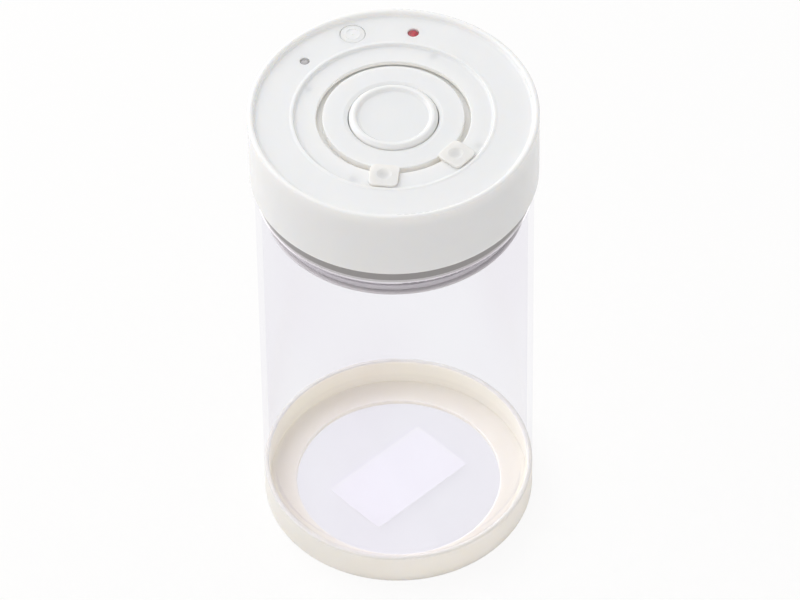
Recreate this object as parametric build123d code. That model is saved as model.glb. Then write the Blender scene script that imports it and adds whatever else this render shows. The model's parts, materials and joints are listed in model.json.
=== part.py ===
from build123d import *
import os
from math import cos, radians, sin, tan

# A vacuum seal canister, in millimetres: a clear jar in a soft base ring, closed by a tall lid that
# holds its own pump, batteries, controls and release valve. +Z is up, and the origin is the middle
# of the base ring's underside. Everything round about the jar's axis is round about Z.

# Directions about Z, in degrees from +X. The lid's bare front looks towards FRONT_ANGLE, with the
# batteries behind it, and the key, the lights and the pump are at the back.
FRONT_ANGLE = -70.8
BACK_ANGLE = FRONT_ANGLE + 180
LIGHT_SPREAD = 29.6
LEFT_SLIDER_ANGLE = -97.0
RIGHT_SLIDER_ANGLE = -41.3
STICKER_ANGLE = 43.0
SCREW_ANGLES = [FRONT_ANGLE + turn for turn in (45, 135, 225, 315)]

# Gaps between pieces. FIT is round a piece that slides or turns in its hole, EASE is round a piece
# that is only placed there, and SOFT_GAP keeps soft pieces off what moves past them.
FIT = 0.05
EASE = 0.2
SOFT_GAP = 0.3
OVERRUN = 1.0

# Jar and base ring
JAR_R = 51.25
JAR_WALL = 2.2
JAR_FLOOR = 3.0
JAR_HEIGHT = 164.5
JAR_RIM_ROUND = 0.9
JAR_HEEL_ROUND = 1.6
JAR_INNER_ROUND = 3.0
RING_WALL = 2.0
RING_HEIGHT = 13.3
RING_FLANGE = 2.0
RING_SHELF = 12.25
RING_HOLE_R = JAR_R - RING_SHELF
RING_HEEL_ROUND = 1.3
RING_TOP_ROUND = 0.7
STICKER_LENGTH = 46.7
STICKER_WIDTH = 27.0
STICKER_THICK = 0.15
STICKER_CORNER = 1.0

# Mouth gasket and the lid's lower shell
GASKET_FLANGE = 1.3
GASKET_WALL = 1.3
GASKET_EDGE_ROUND = 0.45
LIP_THICK = 0.9
LIP_RISE = 1.5
LIP_SHARES = (0.18, 0.55)
BAND_INSET = 0.25
BAND_R = JAR_R - BAND_INSET
BAND_HEIGHT = 5.2
BAND_WALL = 2.0
BAND_FLOOR = 2.2
PLUG_GAP = 3.05
PLUG_R = JAR_R - JAR_WALL - PLUG_GAP
PLUG_WALL = 2.4
PLUG_DEPTH = 10.6
PLUG_FLOOR = 3.2
PLUG_LIP = 1.2
PLUG_LIP_GAP = 0.65
PLUG_LIP_R = JAR_R - JAR_WALL - PLUG_LIP_GAP

# Lid cover
COVER_OVERHANG = 1.75
COVER_R = JAR_R + COVER_OVERHANG
COVER_WALL = 2.2
COVER_HEIGHT = 29.7
COVER_RIM_ROUND = 0.95
COVER_FOOT_ROUND = 0.4
RIM_WIDTH = 2.2
RIM_DEPTH = 2.0
RIM_FOOT_ROUND = 1.0
PANEL_SKIN = 2.0
DIAL_R = 36.5
DIAL_DEPTH = 0.9
DIAL_LIP_WIDTH = 1.3
DIAL_LIP_RISE = 0.25
DIAL_SLOPE = 0.6
DIAL_COVE_ROUND = 1.2
DIAL_SKIN = 1.6
EDGE_ROUND = 0.3
COVER_SCREW_INSET = 2.6
COVER_SCREW_R = COVER_R - COVER_WALL - COVER_SCREW_INSET
COVER_BOSS_R = 2.8
COVER_SCREW_LENGTH = 11.0

# Ring slot, inner disc and the date sliders that ride between them
SLOT_OUTER_R = 28.1
SLOT_WIDTH = 2.3
HUB_R = SLOT_OUTER_R - SLOT_WIDTH
HUB_RISE = 0.1
HUB_BEVEL_WIDTH = 1.5
HUB_BEVEL_DEPTH = 0.45
HUB_BEVEL_ROUND = 1.0
HUB_SKIN = 1.8
HUB_FLANGE_LAP = 0.5
HUB_FLANGE_R = DIAL_R + HUB_FLANGE_LAP
HUB_FLANGE = 1.2
HUB_SCREW_INSET = 2.5
HUB_SCREW_R = DIAL_R - HUB_SCREW_INSET
HUB_BOSS_R = 2.2
HUB_SCREW_LENGTH = 3.4
WELL_R = 16.6
WELL_WALL = 1.5
WELL_DEPTH = 7.7
WELL_FLOOR = 1.4
SLIDE_GAP = 0.2
SLIDER_LAP = 0.9
SLIDER_INNER_R = HUB_R - SLIDER_LAP
DIAL_MARGIN = 1.3
SLIDER_OUTER_R = DIAL_R - DIAL_MARGIN
SLIDER_WIDTH = 10.6
SLIDER_TOP = 0.8
SLIDER_CORNER = 2.2
SLIDER_EDGE_ROUND = 0.3
SLIDER_NECK_WIDTH = 8.0
SLIDER_FOOT = 1.0
SLIDER_FOOT_REACH = 2.9
SLIDER_FOOT_R = SLOT_OUTER_R + SLIDER_FOOT_REACH
DIMPLE_INSET = 5.6
DIMPLE_PLACE_R = SLIDER_OUTER_R - DIMPLE_INSET
DIMPLE_R = 2.75
DIMPLE_DEPTH = 0.5

# Release button, its stem, valve and spring
WELL_GAP = 0.35
BUTTON_R = WELL_R - WELL_GAP
BUTTON_SKIN = 1.6
BUTTON_WALL = 1.5
BUTTON_TRAVEL = 2.5
CREST_RISE = 1.1
CREST_INNER_INSET = 3.35
CREST_INNER_R = BUTTON_R - CREST_INNER_INSET
CREST_TOP_INNER_INSET = 2.35
CREST_TOP_INNER_R = BUTTON_R - CREST_TOP_INNER_INSET
CREST_TOP_OUTER_INSET = 1.25
CREST_TOP_OUTER_R = BUTTON_R - CREST_TOP_OUTER_INSET
CREST_DROP = 1.2
CREST_ROUND = 0.75
STEM_R = 3.0
STEM_SOCKET_WALL = 1.2
STEM_SOCKET = 3.0
STEM_NECK_R = 1.5
STEM_HEAD_R = 3.6
STEM_HEAD = 1.4
SEAT_AIR_GAP = 0.9
SEAL_R = 6.5
SEAL_THICK = 1.8
TOWER_R = 5.5
TOWER_HEIGHT = 10.0
TOWER_WINDOW_WIDTH = 3.0
TOWER_WINDOW_HEIGHT = 2.4
SPRING_R = 6.6
SPRING_WIRE_R = 0.4
SPRING_TURNS = 3.5

# Start key, its switch, and the two lights on the control board
KEY_INSET = 8.9
KEY_PLACE_R = COVER_R - KEY_INSET
KEY_R = 4.55
KEY_FLANGE_R = 5.7
KEY_FLANGE = 1.0
KEY_STEM_R = 1.6
KEY_MARK_R = 2.9
KEY_MARK_WIDTH = 0.45
KEY_MARK_RISE = 0.2
KEY_DOT_R = 0.45
KEY_EDGE_ROUND = 0.35
KEY_TRAVEL = 0.4
SWITCH_SIZE = 6.2
SWITCH_HEIGHT = 3.0
PLUNGER_R = 1.75
PLUNGER_LENGTH = 1.6
PLUNGER_PROUD = 0.7
LIGHT_INSET = 10.4
LIGHT_PLACE_R = COVER_R - LIGHT_INSET
RUNNING_LIGHT_R = 2.05
STATUS_LIGHT_R = 1.7
LIGHT_SINK = 0.35
LIGHT_LENGTH = 6.4
LIGHT_DOME_ROUND = 0.8
LIGHT_FLANGE = 1.0
LIGHT_FLANGE_EXTRA = 0.5
LEAD_R = 0.25
LEAD_SPREAD = 0.65
BOARD_THICK = 1.6
BOARD_DROP = 7.0
BOARD_INSET = 4.4
BOARD_WIDTH = 11.8
BOARD_INNER_R = COVER_R - BOARD_INSET - BOARD_WIDTH
BOARD_OUTER_R = COVER_R - BOARD_INSET
BOARD_SPAN = 80.0
BOARD_SCREW_SPREAD = 14.8
BOARD_SCREW_INSET = 3.2
BOARD_SCREW_R = BOARD_INNER_R + BOARD_SCREW_INSET
BOARD_BOSS_R = 2.2
BOARD_SCREW_LENGTH = 5.6
CHIP_SIZE = 7.0
CHIP_HEIGHT = 1.2
CHIP_INSET = 6.7
CHIP_PLACE_R = BOARD_INNER_R + CHIP_INSET
CAPACITOR_R = 2.5
CAPACITOR_HEIGHT = 5.0
CAPACITOR_INSET = 6.2
CAPACITOR_PLACE_R = BOARD_INNER_R + CAPACITOR_INSET
CAPACITOR_ANGLE = 24.0
RESISTOR_LENGTH = 1.6
RESISTOR_WIDTH = 0.9
RESISTOR_HEIGHT = 0.6
RESISTOR_INSET = 1.8
RESISTOR_PLACE_R = BOARD_INNER_R + RESISTOR_INSET
RESISTOR_ANGLES = (-9, -5, 5, 9)

# Screws: heads, and the shanks with the pilot holes that they go into
SCREW_HEAD_R = 1.9
SCREW_HEAD = 1.5
SCREW_SHANK_R = 1.0
SCREW_SOCKET_R = 0.8
SCREW_SOCKET = 0.8

# Batteries, in the front frame, where X runs out from the axis towards the lid's front
CELL_R = 5.25
CELL_LENGTH = 44.5
CELL_NUB_R = 2.7
CELL_NUB = 1.0
CELL_LIFT = 0.3
BOX_INSET = 34.1
BOX_X = PLUG_R - PLUG_WALL - BOX_INSET
BOX_WALL = 1.2
CONTACT_SPACE = 1.5
CONTACT_THICK = 0.4
CONTACT_WIDTH = 8.0
CONTACT_TIP_R = 2.2
CONTACT_COIL_R = 3.4
WIRE_HOLE_R = 1.9
DOOR_THICK = 1.5
DOOR_GASKET = 0.8
DOOR_GASKET_WIDTH = 1.2
DOOR_LEDGE = 1.8
DOOR_CORNER = 4.0
DOOR_SCREW_OUT = 2.35
DOOR_SCREW_LENGTH = 6.5
DOOR_BOSS_R = 2.3
DOOR_BOSS_HEIGHT = 6.3
DOOR_SINK = 0.9

# Pump, in the back frame, where X runs out from the axis towards the lid's back and the pump lies
# along Y
PUMP_INSET = 21.1
PUMP_X = PLUG_R - PLUG_WALL - PUMP_INSET
PUMP_LIFT = 13.8
PUMP_R = 11.0
MOTOR_INSET = 0.8
MOTOR_R = PUMP_R - MOTOR_INSET
MOTOR_LENGTH = 27.0
MOTOR_FRONT_Y = -4.5
MOTOR_EDGE_ROUND = 1.0
MOTOR_BOSS_R = 3.0
MOTOR_BOSS = 1.3
SHAFT_R = 1.0
SHAFT_DEPTH = 6.0
CASE_LENGTH = 12.0
CASE_WALL = 1.5
CRANK_R = 5.0
CRANK_LENGTH = 4.0
CRANK_GAP = 0.5
CRANK_PIN_R = 1.0
CRANK_PIN_OFFSET = 1.6
CRANK_PIN = 2.9
SWING_GAP = 1.2
SWING_R = PUMP_R - CASE_WALL - SWING_GAP
SWING_THICK = 1.6
DIAPHRAGM_THICK = 1.2
CUP_R = 2.5
CUP_PLACE_R = 5.4
VALVE_PLATE = 2.0
VALVE_HOLE_R = 0.7
PUMP_CAP = 5.0
PUMP_CAP_ROUND = 1.0
NOZZLE_R = 1.6
NOZZLE_BORE_R = 0.9
NOZZLE_LENGTH = 5.0
SLEEVE_THICK = 1.0
SLEEVE_LENGTH = 23.0
SADDLE_THICK = 2.0
SADDLE_WIDTH = 18.0
SADDLE_DROP = 5.0
STRAP_THICK = 1.5
STRAP_WIDTH = 8.0
STRAP_EAR = 5.2
POST_R = 2.4
PUMP_SCREW_LENGTH = 6.0

# Suction path from the jar to the pump, in the back frame
PORT_X = 1.0
PORT_R = 6.3
PORT_WALL = 1.4
PORT_HEIGHT = 5.5
PORT_SPIGOT = 3.2
TUBE_R = 2.6
TUBE_BEND = 4.6
UMBRELLA_R = 4.2
UMBRELLA_THICK = 0.9
UMBRELLA_STEM_R = 0.95
PORT_HOLE_R = 0.8
PORT_HOLE_PLACE_R = 2.8
FILTER_CAP_R = 8.0
FILTER_CAP_WALL = 1.2
FILTER_CAP_FLOOR = 1.0
FILTER_CAP_HEIGHT = 2.4
FILTER_CAP_ROUND = 0.6
FILTER_HOLE_R = 0.7
FILTER_HOLE_PLACE_R = 4.0
FILTER_THICK = 0.9

# Wires, in pairs. A route's places are (radius, angle from the back) in the back frame.
WIRE_R = 0.6
WIRE_SPREAD = 0.5
WIRE_DROP = 3.1
WIRE_BEND_SHARE = 0.45
BATTERY_WIRE_OUT = 7.2
BATTERY_WIRE_ROUTE = ((35.0, 100.0), (39.4, 66.0), (40.3, 37.4))
MOTOR_WIRE_OUT = 4.0
MOTOR_WIRE_RISE = 5.5
MOTOR_WIRE_LEAN = 4.5
MOTOR_WIRE_ROUTE = ((38.2, 21.5),)

# Heights that follow from the sizes above
rim_z = RING_FLANGE + JAR_HEIGHT
band_z = rim_z + SOFT_GAP + GASKET_FLANGE
cover_z = band_z + BAND_HEIGHT
top_z = cover_z + COVER_HEIGHT
panel_z = top_z - RIM_DEPTH
dial_z = panel_z - DIAL_DEPTH
under_panel_z = panel_z - PANEL_SKIN
under_dial_z = dial_z - DIAL_SKIN
hub_z = dial_z + HUB_RISE
foot_top_z = under_dial_z - SLIDE_GAP
foot_low_z = foot_top_z - SLIDER_FOOT
flange_top_z = foot_low_z - SLIDE_GAP
flange_low_z = flange_top_z - HUB_FLANGE
well_floor_z = hub_z - WELL_DEPTH
well_low_z = well_floor_z - WELL_FLOOR
plug_low_z = band_z - PLUG_DEPTH
floor_z = plug_low_z + PLUG_FLOOR
board_z = under_panel_z - BOARD_DROP
board_low_z = board_z - BOARD_THICK
button_under_z = hub_z - BUTTON_SKIN
seal_top_z = plug_low_z - SOFT_GAP
seal_low_z = seal_top_z - SEAL_THICK
stem_low_z = seal_low_z - STEM_HEAD
recess_z = plug_low_z + DOOR_THICK + DOOR_GASKET
pump_z = floor_z + PUMP_LIFT

# Places in the battery box
cell_pitch = 2 * CELL_R + EASE
box_inner_x = BOX_X + BOX_WALL
cell_x = [box_inner_x + EASE + CELL_R + row * cell_pitch for row in range(2)]
cell_z = [floor_z + CELL_LIFT + CELL_R + row * cell_pitch for row in range(2)]
box_far_x = cell_x[1] + CELL_R + EASE
box_half_y = CELL_LENGTH / 2 + CONTACT_SPACE
box_top_z = cell_z[1] + CELL_R + EASE
door_screw_x = (box_inner_x + box_far_x) / 2
door_screw_y = box_half_y + BOX_WALL + DOOR_SCREW_OUT
recess_low_x = box_inner_x - DOOR_LEDGE
recess_far_x = box_far_x + DOOR_LEDGE
recess_half_y = door_screw_y + DOOR_BOSS_R

# Places along the pump, from the motor's front face to the cap
case_y = MOTOR_FRONT_Y - CASE_LENGTH
crank_y = MOTOR_FRONT_Y - CASE_WALL - CRANK_GAP
crank_end_y = crank_y - CRANK_LENGTH
swing_y = crank_end_y - 2 * CRANK_GAP
swing_end_y = swing_y - SWING_THICK
diaphragm_y = case_y - DIAPHRAGM_THICK
valve_y = diaphragm_y - VALVE_PLATE
cap_y = valve_y - PUMP_CAP
nozzle_y = (valve_y + cap_y) / 2
motor_mid_y = MOTOR_FRONT_Y + MOTOR_LENGTH / 2
sleeve_r = MOTOR_R + FIT + SLEEVE_THICK
strap_r = sleeve_r + EASE
post_out = strap_r + STRAP_THICK + STRAP_EAR / 2 - EASE

ON_BASE = (Align.CENTER, Align.CENTER, Align.MIN)
FRONT = Rot(Z=FRONT_ANGLE)
BACK = Rot(Z=BACK_ANGLE)


def turned(outline):
    """A body turned about Z from corners of (radius, height) or (radius, height, rounding)."""
    corners = [(corner[0], corner[1]) for corner in outline]
    rounds = [corner[2] if len(corner) == 3 else 0 for corner in outline]
    face = make_face(FilletPolyline(corners, radius=rounds, close=True))
    return revolve(Plane.XZ * face, Axis.Z)


def rod(radius, low, high):
    """An upright round bar on the axis."""
    return Pos(0, 0, low) * Cylinder(radius, high - low, align=ON_BASE)


def ring(inner, outer, low, high):
    """An upright ring on the axis."""
    return rod(outer, low, high) - rod(inner, low - OVERRUN, high + OVERRUN)


def sector(inner, outer, low, high, span):
    """A part of a ring, centred on +X and spanning an angle."""
    start = (Align.NONE, Align.NONE, Align.MIN)
    pie = Cylinder(outer, high - low, arc_size=span, align=start)
    return Pos(0, 0, low) * Rot(Z=-span / 2) * pie - rod(inner, low - OVERRUN, high + OVERRUN)


def block(low_corner, high_corner):
    """A box between two corners."""
    sizes = [high - low for low, high in zip(low_corner, high_corner)]
    return Pos(*low_corner) * Box(*sizes, align=Align.MIN)


def at(radius, angle):
    """A place at a radius and an angle about Z, turned to face outwards."""
    return Rot(Z=angle) * Pos(radius, 0, 0)


def lying(radius, y0, y1):
    """A round bar on the pump's axis, in the back frame."""
    low = min(y0, y1)
    bar = Cylinder(radius, abs(y1 - y0), align=ON_BASE)
    return Pos(PUMP_X, low, pump_z) * Rot(X=-90) * bar


def around_pump(radius, turn):
    """A shift from the pump's axis, in the back frame."""
    return Pos(radius * cos(radians(turn)), 0, radius * sin(radians(turn)))


def screw(length):
    """A pan-head screw on the axis, head down, with the head's top face at height zero."""
    head = turned([
        (0, -SCREW_HEAD),
        (SCREW_HEAD_R, -SCREW_HEAD, SCREW_HEAD / 3),
        (SCREW_HEAD_R, 0),
        (SCREW_SHANK_R, 0),
        (SCREW_SHANK_R, length - SCREW_SHANK_R),
        (SCREW_SHANK_R / 2, length),
        (0, length),
    ])
    socket = Pos(0, 0, -SCREW_HEAD - OVERRUN) * extrude(
        RegularPolygon(SCREW_SOCKET_R, 6), SCREW_SOCKET + OVERRUN)
    return head - socket


def pilot(low, length):
    """The hole that a screw's shank fills, from a height upwards."""
    return rod(SCREW_SHANK_R + FIT, low - OVERRUN, low + length + EASE)


def jar():
    """Clear jar with a foot that steps in to seat in the base ring."""
    foot_r = JAR_R - RING_WALL - EASE / 2
    shoulder_z = RING_HEIGHT + EASE
    inner_r = JAR_R - JAR_WALL
    return turned([
        (0, RING_FLANGE),
        (foot_r, RING_FLANGE, JAR_HEEL_ROUND),
        (foot_r, shoulder_z),
        (JAR_R, shoulder_z, EDGE_ROUND),
        (JAR_R, rim_z, JAR_RIM_ROUND),
        (inner_r, rim_z, JAR_RIM_ROUND),
        (inner_r, shoulder_z + JAR_WALL, JAR_WALL / 2),
        (foot_r - JAR_WALL, shoulder_z, JAR_WALL / 2),
        (foot_r - JAR_WALL, RING_FLANGE + JAR_FLOOR, JAR_INNER_ROUND),
        (0, RING_FLANGE + JAR_FLOOR),
    ])


def base_ring():
    """Soft ring that the jar's foot stands in, open in the middle."""
    return turned([
        (RING_HOLE_R, 0, EDGE_ROUND),
        (JAR_R, 0, RING_HEEL_ROUND),
        (JAR_R, RING_HEIGHT, RING_TOP_ROUND),
        (JAR_R - RING_WALL, RING_HEIGHT, RING_TOP_ROUND),
        (JAR_R - RING_WALL, RING_FLANGE),
        (RING_HOLE_R, RING_FLANGE, EDGE_ROUND),
    ])


def base_sticker():
    """Blank label on the underside of the jar's bottom."""
    label = RectangleRounded(STICKER_LENGTH, STICKER_WIDTH, STICKER_CORNER)
    return Pos(0, 0, RING_FLANGE - STICKER_THICK) * Rot(Z=STICKER_ANGLE) * extrude(label, STICKER_THICK)


def mouth_gasket():
    """Silicone ring: a flange over the jar's rim and two thin lips that wipe the jar's wall."""
    inner_r = PLUG_R + FIT
    wall_r = inner_r + GASKET_WALL
    lip_r = JAR_R - JAR_WALL - SOFT_GAP
    flange_z = band_z - GASKET_FLANGE
    low_z = plug_low_z + PLUG_LIP + EASE
    outline = [(inner_r, low_z, EDGE_ROUND), (wall_r, low_z, EDGE_ROUND)]
    for share in LIP_SHARES:
        root_z = low_z + share * (flange_z - low_z)
        outline.append((wall_r, root_z))
        outline.append((lip_r, root_z + LIP_RISE, LIP_THICK / 3))
        outline.append((lip_r, root_z + LIP_RISE + LIP_THICK, LIP_THICK / 3))
        outline.append((wall_r, root_z + 2 * LIP_THICK))
    outline.append((wall_r, flange_z, EDGE_ROUND))
    outline.append((BAND_R, flange_z, GASKET_EDGE_ROUND))
    outline.append((BAND_R, band_z))
    outline.append((inner_r, band_z))
    return turned(outline)


def shell_of_chassis():
    """The lid's lower shell before its bosses and holes: plug, flange and neck band."""
    inner_r = PLUG_R - PLUG_WALL
    shell = turned([
        (0, plug_low_z),
        (PLUG_LIP_R, plug_low_z, EDGE_ROUND),
        (PLUG_LIP_R, plug_low_z + PLUG_LIP, EDGE_ROUND),
        (PLUG_R, plug_low_z + PLUG_LIP),
        (PLUG_R, band_z),
        (BAND_R, band_z),
        (BAND_R, cover_z),
        (BAND_R - BAND_WALL, cover_z),
        (BAND_R - BAND_WALL, band_z + BAND_FLOOR),
        (inner_r, band_z + BAND_FLOOR),
        (inner_r, floor_z, EDGE_ROUND),
        (0, floor_z),
    ])
    for angle in SCREW_ANGLES:
        shell += at(COVER_SCREW_R, angle) * rod(COVER_BOSS_R - EASE, band_z + BAND_FLOOR / 2, cover_z)
    return shell


def chassis_supports():
    """What stands on the chassis floor: valve tower, pump saddles and posts, door screw bosses."""
    into_z = floor_z - PLUG_FLOOR / 3
    stands = [rod(TOWER_R, into_z, floor_z + TOWER_HEIGHT)]
    for side in (-1, 1):
        door_boss = Pos(door_screw_x, side * door_screw_y, 0) * rod(
            DOOR_BOSS_R, into_z, floor_z + DOOR_BOSS_HEIGHT)
        stands.append(FRONT * door_boss)
        post = Pos(PUMP_X + side * post_out, motor_mid_y, 0) * rod(POST_R, into_z, pump_z)
        stands.append(BACK * post)
        saddle_y = motor_mid_y + side * (SLEEVE_LENGTH / 2 - SADDLE_THICK)
        saddle = block(
            (PUMP_X - SADDLE_WIDTH / 2, saddle_y - SADDLE_THICK / 2, into_z),
            (PUMP_X + SADDLE_WIDTH / 2, saddle_y + SADDLE_THICK / 2, pump_z - SADDLE_DROP))
        hollow = lying(strap_r, saddle_y - SADDLE_THICK, saddle_y + SADDLE_THICK)
        stands.append(BACK * (saddle - hollow))
    return stands


def door_plate(margin, low, high):
    """A rounded plate of the battery door's outline, in the front frame."""
    length = recess_far_x - recess_low_x - 2 * margin
    width = 2 * (recess_half_y - margin)
    plate = extrude(RectangleRounded(length, width, DOOR_CORNER - margin), high - low)
    return Pos((recess_low_x + recess_far_x) / 2, 0, low) * plate


def lid_chassis():
    """The lid's grey lower shell, which plugs the jar and carries what is in the lid."""
    shell = shell_of_chassis()
    for stand in chassis_supports():
        shell += stand
    for angle in SCREW_ANGLES:
        place = at(COVER_SCREW_R, angle)
        shell -= place * rod(SCREW_HEAD_R + EASE, band_z - OVERRUN, band_z + SCREW_HEAD + EASE)
        shell -= place * rod(SCREW_SHANK_R + EASE, band_z, cover_z + OVERRUN)
    shell -= rod(STEM_R + FIT, floor_z, floor_z + TOWER_HEIGHT + OVERRUN)
    shell -= rod(STEM_NECK_R + SEAT_AIR_GAP, plug_low_z - OVERRUN, floor_z + OVERRUN)
    for turn in (0, 90):
        shell -= Rot(Z=turn) * block(
            (-TOWER_R - OVERRUN, -TOWER_WINDOW_WIDTH / 2, floor_z),
            (TOWER_R + OVERRUN, TOWER_WINDOW_WIDTH / 2, floor_z + TOWER_WINDOW_HEIGHT))
    shell -= FRONT * door_plate(0, plug_low_z - OVERRUN, recess_z)
    shell -= FRONT * block(
        (box_inner_x, -box_half_y, plug_low_z), (box_far_x, box_half_y, floor_z + OVERRUN))
    for side in (-1, 1):
        shell -= FRONT * Pos(door_screw_x, side * door_screw_y, 0) * pilot(
            plug_low_z + DOOR_SINK, DOOR_SCREW_LENGTH)
        shell -= BACK * Pos(PUMP_X + side * post_out, motor_mid_y, 0) * rod(
            SCREW_SHANK_R + FIT, pump_z + STRAP_THICK - PUMP_SCREW_LENGTH - EASE, pump_z + OVERRUN)
    port = BACK * Pos(PORT_X, nozzle_y, 0)
    shell -= port * rod(UMBRELLA_STEM_R + FIT, plug_low_z - OVERRUN, floor_z + OVERRUN)
    for turn in range(4):
        hole = at(PORT_HOLE_PLACE_R, 90 * turn) * rod(PORT_HOLE_R, plug_low_z - OVERRUN, floor_z + OVERRUN)
        shell -= port * hole
    return shell


def lid_cover():
    """The lid's white shell: rim, sunk panel, dial recess, and bosses for screws underneath."""
    inner_r = COVER_R - COVER_WALL
    cover = turned([
        (inner_r, cover_z),
        (COVER_R, cover_z, COVER_FOOT_ROUND),
        (COVER_R, top_z, COVER_RIM_ROUND),
        (COVER_R - RIM_WIDTH, top_z, COVER_RIM_ROUND),
        (COVER_R - RIM_WIDTH, panel_z, RIM_FOOT_ROUND),
        (DIAL_R + DIAL_LIP_WIDTH, panel_z, EDGE_ROUND),
        (DIAL_R + DIAL_LIP_WIDTH / 2, panel_z + DIAL_LIP_RISE, EDGE_ROUND),
        (DIAL_R, panel_z + DIAL_LIP_RISE, EDGE_ROUND),
        (DIAL_R - DIAL_SLOPE, dial_z, DIAL_COVE_ROUND),
        (SLOT_OUTER_R, dial_z, EDGE_ROUND),
        (SLOT_OUTER_R, under_dial_z),
        (DIAL_R, under_dial_z),
        (DIAL_R, under_panel_z),
        (inner_r, under_panel_z),
    ])
    for angle in SCREW_ANGLES:
        place = at(COVER_SCREW_R, angle)
        cover += place * rod(COVER_BOSS_R, cover_z, under_panel_z + PANEL_SKIN / 2)
        cover -= place * pilot(cover_z, COVER_SCREW_LENGTH - BAND_HEIGHT + SCREW_HEAD)
        place = at(HUB_SCREW_R, angle)
        cover += place * rod(HUB_BOSS_R, flange_top_z, under_dial_z + DIAL_SKIN / 2)
        cover -= place * pilot(flange_top_z, HUB_SCREW_LENGTH - HUB_FLANGE)
    for side in (-1, 1):
        place = at(BOARD_SCREW_R, BACK_ANGLE + side * BOARD_SCREW_SPREAD)
        cover += place * rod(BOARD_BOSS_R, board_z, under_panel_z + PANEL_SKIN / 2)
        cover -= place * pilot(board_z, BOARD_SCREW_LENGTH - BOARD_THICK)
    cover -= at(KEY_PLACE_R, BACK_ANGLE) * rod(KEY_R + EASE, under_panel_z - OVERRUN, top_z)
    for side, radius in ((-1, RUNNING_LIGHT_R), (1, STATUS_LIGHT_R)):
        place = at(LIGHT_PLACE_R, BACK_ANGLE + side * LIGHT_SPREAD)
        cover -= place * rod(radius + EASE / 2, under_panel_z - OVERRUN, top_z)
    return cover


def dial_hub():
    """Inner disc of the dial, with the button's well and the flange that traps the sliders."""
    well_r = WELL_R + WELL_WALL
    hub = turned([
        (HUB_R, hub_z, EDGE_ROUND),
        (HUB_R, flange_top_z),
        (HUB_FLANGE_R, flange_top_z),
        (HUB_FLANGE_R, flange_low_z),
        (HUB_R - WELL_WALL, flange_low_z),
        (HUB_R - WELL_WALL, hub_z - HUB_SKIN),
        (well_r, hub_z - HUB_SKIN),
        (well_r, well_low_z, EDGE_ROUND),
        (STEM_R + FIT, well_low_z),
        (STEM_R + FIT, well_floor_z),
        (WELL_R, well_floor_z),
        (WELL_R, hub_z - HUB_BEVEL_DEPTH, EDGE_ROUND),
        (WELL_R + HUB_BEVEL_WIDTH, hub_z, HUB_BEVEL_ROUND),
    ])
    for angle in SCREW_ANGLES:
        hub -= at(HUB_SCREW_R, angle) * rod(
            SCREW_SHANK_R + EASE, flange_low_z - OVERRUN, flange_top_z + OVERRUN)
    return hub


def release_button():
    """Round button with a raised rounded edge, a flat dish inside it and a socket for the stem."""
    skirt_z = well_floor_z + BUTTON_TRAVEL + SOFT_GAP
    crest_z = hub_z + CREST_RISE
    socket_r = STEM_R + STEM_SOCKET_WALL
    return turned([
        (0, hub_z),
        (CREST_INNER_R, hub_z, CREST_ROUND),
        (CREST_TOP_INNER_R, crest_z, CREST_ROUND),
        (CREST_TOP_OUTER_R, crest_z, CREST_ROUND),
        (BUTTON_R, crest_z - CREST_DROP, CREST_ROUND),
        (BUTTON_R, skirt_z, EDGE_ROUND),
        (BUTTON_R - BUTTON_WALL, skirt_z),
        (BUTTON_R - BUTTON_WALL, button_under_z),
        (socket_r, button_under_z),
        (socket_r, button_under_z - STEM_SOCKET),
        (STEM_R + FIT, button_under_z - STEM_SOCKET),
        (STEM_R + FIT, button_under_z),
        (0, button_under_z),
    ])


def button_stem():
    """Rod from the button down through the valve tower to the head under the lid."""
    shoulder_z = floor_z + BUTTON_TRAVEL + SOFT_GAP
    return turned([
        (0, stem_low_z),
        (STEM_HEAD_R, stem_low_z, EDGE_ROUND),
        (STEM_HEAD_R, seal_low_z),
        (STEM_NECK_R, seal_low_z),
        (STEM_NECK_R, shoulder_z),
        (STEM_R, shoulder_z),
        (STEM_R, button_under_z),
        (0, button_under_z),
    ])


def valve_seal():
    """Silicone washer on the stem, drawn up against the chassis to close the air hole."""
    return turned([
        (STEM_NECK_R + FIT, seal_low_z),
        (SEAL_R, seal_low_z, SEAL_THICK / 3),
        (SEAL_R, seal_top_z, SEAL_THICK / 4),
        (STEM_NECK_R + FIT, seal_top_z),
    ])


def button_spring():
    """Coil spring between the well's floor and the button."""
    low = well_floor_z + SPRING_WIRE_R + FIT
    height = button_under_z - SPRING_WIRE_R - FIT - low
    path = Helix(height / SPRING_TURNS, height, SPRING_R)
    start = Plane(origin=path @ 0, z_dir=path % 0)
    return Pos(0, 0, low) * sweep(start * Circle(SPRING_WIRE_R), path=path, is_frenet=True)


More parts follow.
